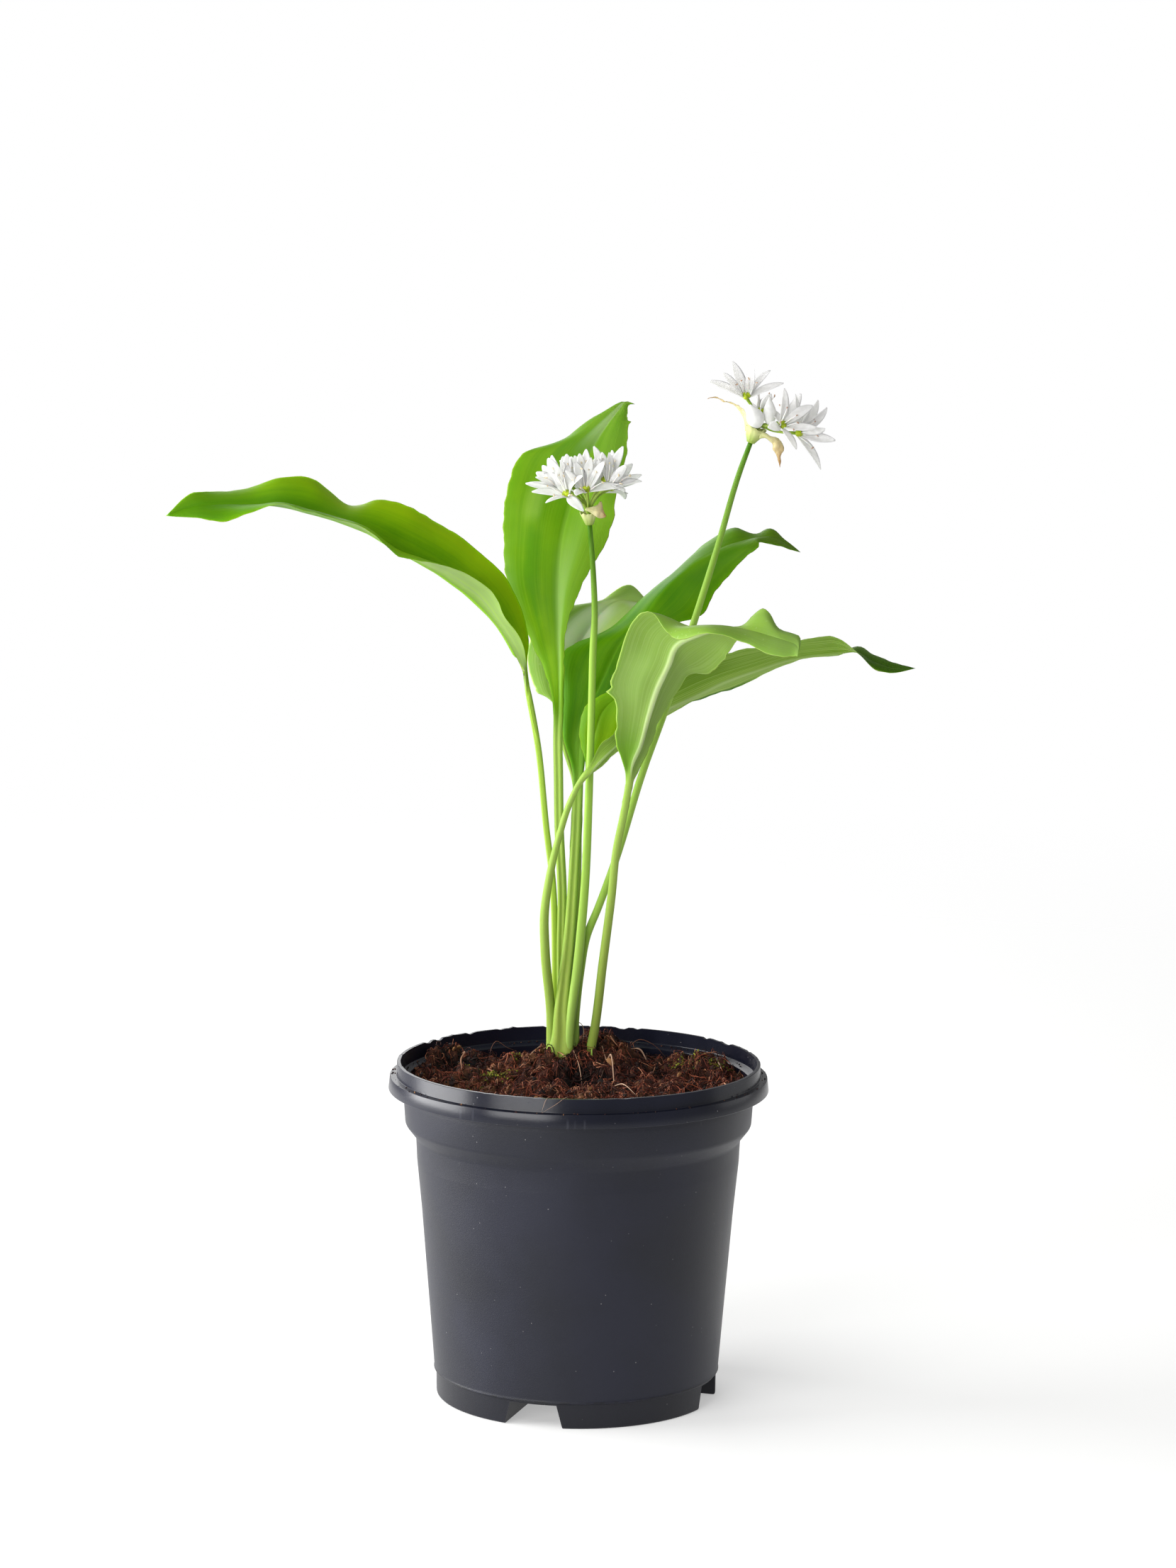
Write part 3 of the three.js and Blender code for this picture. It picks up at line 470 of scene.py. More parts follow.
# Blocks that cut the channels, wider all round by a skin
def channelBlocks(bm, skin):
    low, high = pot["channelHalf"]
    bottom, top = -pot["channelBelow"], pot["channelHeight"] + skin
    foot, roof = low + (low - high) / pot["channelHeight"] + skin, high + skin
    for turn in channelTurns():
        outline = [(-foot, bottom), (foot, bottom), (roof, top), (-roof, top)]
        verts = [bm.verts.new(Vector((x, skin - pot["channelStart"], z)) * mm) for x, z in outline]
        face = bm.faces.new(verts)
        grown = bmesh.ops.extrude_face_region(bm, geom=[face])["geom"]
        moved = [v for v in grown if isinstance(v, bmesh.types.BMVert)]
        bmesh.ops.translate(bm, verts=moved, vec=(0, -pot["channelReach"] * mm, 0))
        bmesh.ops.rotate(bm, verts=verts + moved, cent=(0, 0, 0), matrix=turn.to_3x3())
    bmesh.ops.recalc_face_normals(bm, faces=bm.faces)


def drainPegs(bm):
    radius = pot["drain"] * mm
    for turn in channelTurns():
        place = turn @ Matrix.Translation(Vector((0, -pot["drainAt"], pot["channelHeight"])) * mm)
        peg = {"radius1": radius, "radius2": radius, "depth": pot["drainCut"] * mm}
        bmesh.ops.create_cone(bm, cap_ends=True, segments=pot["drainSides"], matrix=place, **peg)


def meshOf(build, *settings):
    bm = bmesh.new()
    build(bm, *settings)
    mesh = bpy.data.meshes.new("shape")
    bm.to_mesh(mesh)
    bm.free()
    return mesh


# Cuts one mesh after another from the first and gives the result as a new mesh
def cutAway(mesh, *cutters):
    body = bpy.data.objects.new("body", mesh)
    bpy.context.scene.collection.objects.link(body)
    tools = []
    for cutter in cutters:
        tool = bpy.data.objects.new("cutter", cutter)
        bpy.context.scene.collection.objects.link(tool)
        cut = body.modifiers.new("cut", "BOOLEAN")
        cut.operation = "DIFFERENCE"
        cut.solver = "MANIFOLD"
        cut.object = tool
        tools.append(tool)
    bpy.context.view_layer.update()
    made = bpy.data.meshes.new_from_object(body.evaluated_get(bpy.context.evaluated_depsgraph_get()))
    for thing in (body, *tools):
        bpy.data.objects.remove(thing)
    return made


# Small dents and burrs on the lip's top edge, more of them at the back
def roughenLip(mesh):
    inner, band = pot["lip"]
    top = pot["outside"][-1][1]
    for vert in mesh.vertices:
        x, y, z = vert.co / mm
        if z < top - band or math.hypot(x, y) < inner:
            continue
        turn = math.atan2(y, x)
        back = smooth(-0.5, 0.6, math.sin(turn))
        nick = noise.noise(Vector((math.cos(turn), math.sin(turn), 0)) * pot["nickScale"])
        burr = noise.noise(Vector((math.cos(turn), math.sin(turn), 3)) * pot["burrScale"])
        rise = -smooth(0.18, 0.5, nick) * pot["nick"] * (0.25 + back)
        vert.co.z += (rise + smooth(0.28, 0.6, burr) * pot["burr"] * back) * mm


def makePot(finish):
    outside = meshOf(turnProfile, pot["outside"], pot["softOutside"])
    inside = meshOf(turnProfile, pot["inside"], pot["softInside"])
    hollow = cutAway(inside, meshOf(channelBlocks, pot["wall"]))
    mesh = cutAway(outside, meshOf(channelBlocks, 0), hollow, meshOf(drainPegs))
    roughenLip(mesh)
    bm = bmesh.new()
    bm.from_mesh(mesh)
    makePiece("nurseryPot", bm, finish, ["pot"], pot["crease"])


# Blue-grey plastic: a fine grain on the wall, smoother at the rim, with specks of dust and painted shade on
# the foot
def potFinish():
    made = Finish("potPlastic", {"Specular IOR Level": 0.34})
    place = made.place()
    x, y, height = made.parts(place)
    grain = made.cloud(place, 2600, 3, 0.6)
    cloudy = made.cloud(place, 26, 3)
    wallFrom, wallFull = pot["wallTop"]
    onWall = made.step(height, wallFrom * mm, wallFull * mm)
    colour = made.mix(made.step(cloudy, 0.3, 0.7), tint(14, 16, 28), tint(22, 24, 39))
    # Painted shade: the foot below the seam is darker
    footShadeFrom, footShadeFull = pot["footShadeTop"]
    colour = made.mix(made.step(height, footShadeFrom * mm, footShadeFull * mm) * 0.6, colour, tint(9, 10, 18))
    seamFrom, seamFull = pot["seamHalf"]
    seam = made.step(made.apart(height, pot["seam"] * mm), seamFrom * mm, seamFull * mm)
    colour = made.mix(seam * made.step(made.cloud(place, 260, 2), 0.4, 0.6) * 0.8, colour, tint(5, 6, 10))
    settings = {"feature": "F1", "voronoi_dimensions": "3D"}
    cells = made.node("ShaderNodeTexVoronoi", settings, {"Vector": place, "Scale": 330}, "Distance")
    sparse = made.step(made.cloud(place, 90, 2), 0.5, 0.62)
    dust = made.step(cells, 0.08, 0.04) * sparse
    colour = made.mix(dust * 0.4, colour, tint(170, 168, 166))
    front = made.step(y, 0, -5 * mm)
    for atX, atZ, halfX, halfZ, strength in pot["scuffs"]:
        side, rise = made.apart(x, atX * mm), made.apart(height, atZ * mm)
        rub = made.step(side, halfX * mm, 0) * made.step(rise, halfZ * mm, 0.4 * halfZ * mm) * front
        colour = made.mix(rub * strength * 0.07, colour, tint(150, 152, 162))
    rough = 0.22 + onWall * 0.18 + made.step(cloudy, 0.35, 0.7) * 0.06 + dust * 0.3
    relief = grain * (0.25 + onWall * 0.75) + dust * 0.8
    return made.finish(colour=colour, roughness=rough, normal=made.bump(relief, 0.12 * mm, 0.6))


makePot(potFinish())
print("pot made")

# Compost: a closed body with a lumpy top, then loose crumbs, coir fibres, twigs and moss
soil = {
    "level": 107.5,
    "profile": [(0, 1.5), (46.2, 1.5), (46.9, 9.5), (52, 65), (54, 91.1), (57.8, 95.5)],
    "rim": 58.1,
    "ring": 0.7,
    "steps": 320,
    "fit": 0.3,  # gap to the pot's channels
    "humps": [  # x, y, rise, spread
        (-3, 21, 6.5, 13), (10, 37, 8, 7), (-42, 30, 4, 9), (42, 32, 3.5, 9), (-12, -4, -3, 10),
        (0, -45, 2.5, 22),
    ],
    "lump": 0.9,  # rise of the waves that run all over
    "heaps": [  # heaps and hollows that the loose surface adds
        (-51, 31, 5, 5), (-4, 22, 2.4, 6), (4, 33, 2.5, 3.5), (40, 18, 1.5, 5), (48, 26, 1.5, 4),
        (-38, 8, 2, 6), (-22, 26, 1, 4), (15, 8, 1.5, 5), (30, -8, 1.5, 6), (-14, -22, 1.5, 6),
        (-42, 22, -6, 4.5), (-1, 6, -6, 4.5), (2, -6, -4.5, 4), (12, 3, -5, 4), (-31, 17, -3, 3),
        (26, 14, -3, 4), (42, -2, -3, 4), (-30, 44, -3.5, 10), (-12, 44, -3, 7), (30, 42, -3.5, 9),
        (56, 10, -2, 5), (-20, -8, -3, 4), (14, -26, -3, 4),
    ],
    "clod": 5.6,
    "clodScale": 0.16,
    "nugget": 2.8,
    "nuggetScale": 0.38,
    "grit": (1.1, 0.7),  # coarse and fine
    "gritScale": (0.8, 1.7),
    "sink": (1.2, 0.3),  # keeps the mean of clods and of fine grit at the level
    "calm": (-3, 19, 3, 10),  # flatter place round the stems: x, y, inner and outer radius
    "shade": (-1.9, 1.6),  # heights of the clods in full shade and in full light
}


def hills(x, y, places):
    def hill(atX, atY, rise, spread):
        return rise * math.exp(-((x - atX) ** 2 + (y - atY) ** 2) / (2 * spread * spread))

    return sum(hill(*place) for place in places)


def soilTop(x, y):
    z = soil["level"] + hills(x, y, soil["humps"])
    z += soil["lump"] * math.sin(0.42 * x + 1.3) * math.cos(0.37 * y - 0.4)
    return z + 0.6 * soil["lump"] * math.sin(0.71 * x - 0.55 * y)


# Round clods with narrow gaps between them, and grit
def clods(x, y):
    spot = Vector((x, y, 4.2))
    rough = soil["clod"] * abs(noise.noise(spot * soil["clodScale"]))
    rough += soil["nugget"] * abs(noise.noise(spot * soil["nuggetScale"]))
    grit = zip(soil["grit"], soil["gritScale"])
    coarse, fine = [rise * noise.noise(spot * scale) for rise, scale in grit]
    atX, atY, inner, outer = soil["calm"]
    calm = 0.45 + 0.55 * smooth(inner, outer, math.hypot(x - atX, y - atY))
    return (rough + coarse - soil["sink"][0]) * calm + fine - soil["sink"][1]


def soilSurface(x, y):
    return soilTop(x, y) + hills(x, y, soil["heaps"]) + clods(x, y)


# How much light a place gets, from the gaps to the tops of the clods; it is painted into the colours as
# shade
def openness(x, y):
    dark, light = soil["shade"]
    return smooth(dark, light, clods(x, y) + 0.8 * min(0, hills(x, y, soil["heaps"])))


def soilShape(bm):
    rings = int(soil["rim"] / soil["ring"])
    top = [(soil["rim"] - soil["ring"] * i, soil["level"]) for i in range(rings)] + [(0, soil["level"])]
    verts = [bm.verts.new(Vector((r, 0, z)) * mm) for r, z in soil["profile"] + top]
    for pair in zip(verts, verts[1:]):
        bm.edges.new(pair)
    spinRound(bm, soil["steps"])
    for vert in bm.verts:
        x, y, z = vert.co / mm
        if z > soil["level"] - 0.1:
            vert.co.z = soilSurface(x, y) * mm
    bmesh.ops.recalc_face_normals(bm, faces=bm.faces)


def makeSoil(finish):
    mesh = cutAway(meshOf(soilShape), meshOf(channelBlocks, pot["wall"] + soil["fit"]))
    # Painted shade: each point's tone is how much light it gets
    tones = [openness(vert.co.x / mm, vert.co.y / mm) for vert in mesh.vertices]
    mesh.attributes.new("tone", "FLOAT", "POINT").data.foreach_set("value", tones)
    showPiece("compost", mesh, finish, ["soil"])


# What lies loose on the compost. Reach is how far out it goes; sizes run from the smallest to the largest.
litter = {
    "crumbs": {"count": 2300, "reach": 58.2, "size": (0.3, 1.8), "seed": 21},
    "clods": {"count": 150, "reach": 56, "size": (1.6, 3.4), "seed": 22},
    "ledgeCrumbs": {"count": 420, "size": (0.2, 0.7), "seed": 23},
    "fibres": {
        "count": 4600, "length": (2.5, 9), "thick": (0.08, 0.25), "lift": 1.8, "curl": 2.2, "seed": 24,
    },
    "tufts": {
        "count": 800, "length": (1.5, 6), "thick": (0.05, 0.12), "lift": 3, "curl": 3, "seed": 25,
    },
    "twigs": {
        "count": 34, "length": (5, 14), "thick": (0.25, 0.6), "lift": 1.2, "curl": 0.3, "seed": 26,
    },
    "moss": {"size": (0.3, 0.85), "seed": 27},
    "squash": (1.3, 1, 0.75),  # of a crumb, before it is turned
    "crumbCrease": 25,
    "mossCrease": 40,
    "fibreSteps": 5,  # stretches along a fibre
}
mossPlaces = [  # x, y, spread, tufts
    (-29, 3, 2.6, 230), (-26, 9, 2, 110), (-35, -14, 1.5, 45), (-20, 28, 2.4, 130), (37, 22, 3, 190),
    (49, 20, 2.4, 110), (-38, 14, 1.6, 40),
]

# Single strands that stand out: radius, tone, then points of x, y and the height above what is under them
strands = [
    (0.26, 0.6, [(-40, 8, -0.5), (-40.6, 11, 3), (-39.4, 14, 6), (-40.6, 17, 8)]),
    (0.08, 0.3, [(-29, 31, 0), (-31, 32, 3), (-29, 33, 6), (-25, 34, 7), (-22, 35, 6)]),
    (0.13, 0.45, [(14.6, 44, 0), (17, 45, 4), (21, 46, 6.5), (26, 47, 6), (31, 47.5, 2)]),
    (0.16, 0.85, [(-13, 30, 2), (-16, 25, 2.2), (-21, 19, 0.6)]),
    (0.14, 1.2, [(-11, 26, 1.8), (-17, 27, 2.4), (-22, 24, 0.6)]),
    (0.13, 1.4, [(-2.5, 24, 10), (-1, 25, 9.5), (0.8, 25, 7), (1.6, 25, 4), (1, 24, 0.2)]),
    (0.17, 0.8, [(-2, 17, 0.6), (0, 12, 1.8), (1.2, 5, 2.6), (1.5, -4, 1.6), (2, -14, 0.2)]),
    (0.24, 0.8, [(8, 25, 1.6), (9.5, 18, 2.4), (11, 9, 4.5), (12, -3, 4.5), (12, -13, 0.4)]),
    (0.18, 1.1, [(12, -12, 0.6), (15, -17, 1.8), (19.5, -23.5, 0.3)]),
    (0.26, 0.85, [(18, 35, 1.2), (21, 34, 2.8), (25, 33, 2.6), (27.5, 34, 0.6)]),
    (0.24, 1.15, [(47.5, 30, 1.5), (48.6, 22, 2), (49.2, 13, 0.3)]),
    (0.26, 0.4, [(40, 26, 0), (44, 27, 2), (48, 26, 3)]),
    (0.07, 0.9, [(-9.5, -56, 1), (-10, -60.6, 0.2), (-10.8, -62.5, -0.6), (-12, -62.6, -4.2)]),
    (0.06, 0.9, [(-3, -57, 1), (-4, -61, 0.4), (-7, -62.7, -1.4), (-12, -63.2, -4.4)]),
]
strandMake = {"sides": 8, "steps": 6, "radii": (0.5, 1, 1, 0.7, 0.2)}  # radii are shares of the radius


# A place on the compost at random, evenly over its disc
def randomSpot(draw, reach):
    radius, turn = reach * math.sqrt(draw.random()), fullTurn * draw.random()
    return radius * math.cos(turn), radius * math.sin(turn)


def randomTurn(draw):
    numbers = [draw.gauss(0, 1) for _ in range(4)]
    return Quaternion(numbers).normalized()


# The same small form many times over, each time with points of its own and one tone
class Swarm:
    def __init__(self, form):
        bm = bmesh.new()
        form(bm)
        bm.verts.index_update()
        self.rest = [vert.co.copy() for vert in bm.verts]
        self.faces = [[vert.index for vert in face.verts] for face in bm.faces]
        bm.free()
        self.points, self.polygons, self.tones = [], [], []

    def add(self, points, tone):
        first = len(self.points)
        self.points += points
        self.polygons += [[first + i for i in face] for face in self.faces]
        self.tones += [tone] * len(points)

    def piece(self, name, finish, crease=None):
        mesh = bpy.data.meshes.new(name)
        mesh.from_pydata(self.points, [], self.polygons)
        mesh.attributes.new("tone", "FLOAT", "POINT").data.foreach_set("value", self.tones)
        showPiece(name, mesh, finish, crease=crease)


def crumbForm(bm):
    bmesh.ops.create_icosphere(bm, subdivisions=1, radius=1)
    bmesh.ops.subdivide_edges(bm, edges=[e for e in bm.edges if e.index % 4 == 0], cuts=1)
    bmesh.ops.triangulate(bm, faces=bm.faces)


# A fibre has rings of three points, 1 apart, and closed ends
def fibreForm(bm):
    steps = litter["fibreSteps"]
    bmesh.ops.create_cone(bm, cap_ends=True, segments=3, radius1=1, radius2=1, depth=steps)
    rails = [e for e in bm.edges if abs(e.verts[0].co.z - e.verts[1].co.z) > 1]
    bmesh.ops.subdivide_edges(bm, edges=rails, cuts=steps - 1)


def addCrumb(swarm, draw, x, y, z, size):
    spin, squash = randomTurn(draw), Vector(litter["squash"]) * size
    points = []
    for rest in swarm.rest:
        grown = Vector(a * b for a, b in zip(rest * (0.72 + 0.5 * draw.random()), squash))
        points.append((Vector((x, y, z)) + spin @ grown) * mm)
    # The tone is a random tone of its own, darkened by painted shade where the piece lies in a gap
    swarm.add(points, draw.random() * (0.2 + 0.8 * openness(x, y)))


def makeCrumbs(finish):
    swarm = Swarm(crumbForm)
    for name in ("crumbs", "clods"):
        kind = litter[name]
        draw = random.Random(kind["seed"])
        for _ in range(kind["count"]):
            x, y = randomSpot(draw, kind["reach"])
            size = between(kind["size"], draw.random() ** 3) / 2
            addCrumb(swarm, draw, x, y, soilSurface(x, y) + 0.3 * size, size)
    kind = litter["ledgeCrumbs"]
    draw = random.Random(kind["seed"])
    for _ in range(kind["count"]):
        turn = fullTurn * draw.random()
        inner, outer, top = draw.choice(pot["ledges"])
        radius = between((inner, outer), draw.random())
        size = between(kind["size"], draw.random() ** 2) / 2
        addCrumb(swarm, draw, radius * math.cos(turn), radius * math.sin(turn), top + 0.5 * size, size)
    swarm.piece("compostCrumbs", finish, litter["crumbCrease"])


# Curved strands that lie on the compost and bridge its gaps, or stand out of it where lift is large
def makeFibres(name, kind, finish):
    swarm, steps = Swarm(fibreForm), litter["fibreSteps"]
    low = min(point.z for point in swarm.rest)
    draw = random.Random(kind["seed"])
    for _ in range(kind["count"]):
        x, y = randomSpot(draw, soil["rim"] - 0.5)
        length = between(kind["length"], draw.random() ** 1.8)
        thick = between(kind["thick"], draw.random() ** 2)
        heading, bend = fullTurn * draw.random(), (draw.random() - 0.5) * kind["curl"]
        lift, tilt = 0.2 + kind["lift"] * draw.random() ** 3, (draw.random() - 0.6) * 0.3
        way = []
        for k in range(steps + 1):
            radius = math.hypot(x, y)
            if radius > soil["rim"]:
                x, y = x * soil["rim"] / radius, y * soil["rim"] / radius
            way.append(Vector((x, y, soilSurface(x, y) + 0.2)))
            x += math.cos(heading) * length / steps
            y += math.sin(heading) * length / steps
            heading += bend + (draw.random() - 0.5) * 0.6
        for _ in range(2):
            bridges = [(before.z + after.z) / 2 for before, after in zip(way, way[2:])]
            for point, bridge in zip(way[1:], bridges):
                point.z = max(point.z, bridge)
        for k, point in enumerate(way):
            point.z += lift * math.sin(math.pi * k / steps) + max(0, tilt) * length * k / steps
        points = []
        for rest in swarm.rest:
            seat = round(rest.z - low)
            ahead = (way[min(seat + 1, steps)] - way[max(seat - 1, 0)]).normalized()
            side = ahead.orthogonal().normalized()
            radius = thick * (0.45 if seat in (0, steps) else 1)
            points.append((way[seat] + (side * rest.x + ahead.cross(side) * rest.y) * radius) * mm)
        # The tone is a random tone of its own, darkened by painted shade where the fibre ends in a gap
        swarm.add(points, draw.random() * (0.15 + 0.85 * openness(x, y)))
    swarm.piece(name, finish)


def makeMoss(finish):
    swarm, kind = Swarm(crumbForm), litter["moss"]
    draw = random.Random(kind["seed"])
    for atX, atY, spread, tufts in mossPlaces:
        for _ in range(tufts):
            x, y = draw.gauss(atX, spread), draw.gauss(atY, spread)
            if math.hypot(x, y) < soil["rim"] - 1:
                size = between(kind["size"], draw.random()) / 2
                addCrumb(swarm, draw, x, y, soilSurface(x, y) + 0.9 * draw.random(), size)
    swarm.piece("moss", finish, litter["mossCrease"])


# Height of what lies under a strand: the compost, or the pot's lip
def heightUnder(x, y):
    return soilSurface(x, y) if math.hypot(x, y) < soil["rim"] else pot["outside"][-1][1]


def makeStrands(finish):
    bm = newBody("tone")
    sides = strandMake["sides"]
    for radius, tone, spots in strands:
        points = [(x, y, heightUnder(x, y) + rise) for x, y, rise in spots]
        radii = [share * radius for share in strandMake["radii"]]
        rings = stemRings(wayThrough(points, strandMake["steps"]), radii, sides)
        wind(bm, rings, {"tone": [[tone] * sides for _ in rings]})
    makePiece("strands", bm, finish)


def soilFinish():
    made = Finish("compostEarth", {"Specular IOR Level": 0.2})
    place, tone = made.place(), made.mark("tone")
    lumps = made.cloud(place, 210, 4, 0.65)
    grit = made.cloud(place, 1100, 3, 0.7)
    flakes = made.step(made.cloud(place, 620, 2), 0.6, 0.74)
    warm = made.step(made.cloud(place, 38, 2), 0.42, 0.62)
    colour = made.mix(made.step(lumps, 0.34, 0.66), tint(18, 8, 7), tint(66, 33, 25))
    colour = made.mix(warm * 0.45, colour, tint(96, 62, 30))
    colour = made.mix(made.step(grit, 0.5, 0.75) * 0.6, colour, tint(124, 74, 54))
    colour = made.mix(flakes * 0.45, colour, tint(156, 108, 76))
    # Painted shade: where little light gets in, between the clods, the compost turns nearly black
    colour = made.mix(made.step(tone, 0.9, 0.1), colour, tint(8, 5, 6))
    relief = lumps * 0.6 + grit * 0.4
    return made.finish(colour=colour, roughness=0.95 - grit * 0.25, normal=made.bump(relief, 1.2 * mm, 0.9))


litterTones = {
    "compostCrumb": [(0, (10, 6, 6)), (0.45, (62, 31, 23)), (0.8, (126, 78, 46)), (1, (164, 118, 74))],
    "coir": [(0, (18, 7, 6)), (0.3, (100, 40, 27)), (0.65, (172, 92, 62)), (1, (230, 168, 130))],
    "twigBark": [(0, (20, 13, 11)), (0.5, (70, 46, 34)), (1, (128, 98, 76))],
    "dryStrand": [(0, (60, 34, 26)), (0.5, (146, 96, 70)), (1, (214, 178, 150))],
    "mossGreen": [(0, (40, 40, 10)), (0.5, (112, 112, 20)), (1, (182, 186, 64))],
}


# A loose piece's tone runs from the painted shade of what lies deep in a gap to the brightest piece; for
# crumbs, fibres and moss it is a random tone of its own darkened by painted shade in the gaps
def litterFinish(name):
    made = Finish(name, {"Specular IOR Level": 0.3})
    tone, place = made.mark("tone"), made.place()
    stops = [(seat, tint(*levels)) for seat, levels in litterTones[name]]
    colour = made.ramp(tone, stops)
    colour = made.mix(made.cloud(place, 500, 2) * 0.4, colour, stops[0][1])
    grain = made.cloud(place, 1600, 2)
    return made.finish(colour=colour, roughness=0.6 + grain * 0.25, normal=made.bump(grain, 0.1 * mm, 0.6))


makeSoil(soilFinish())
makeCrumbs(litterFinish("compostCrumb"))
coir = litterFinish("coir")
makeFibres("coirFibres", litter["fibres"], coir)
makeFibres("coirTufts", litter["tufts"], coir)
makeFibres("twigs", litter["twigs"], litterFinish("twigBark"))
makeStrands(litterFinish("dryStrand"))
makeMoss(litterFinish("mossGreen"))
print("compost made")

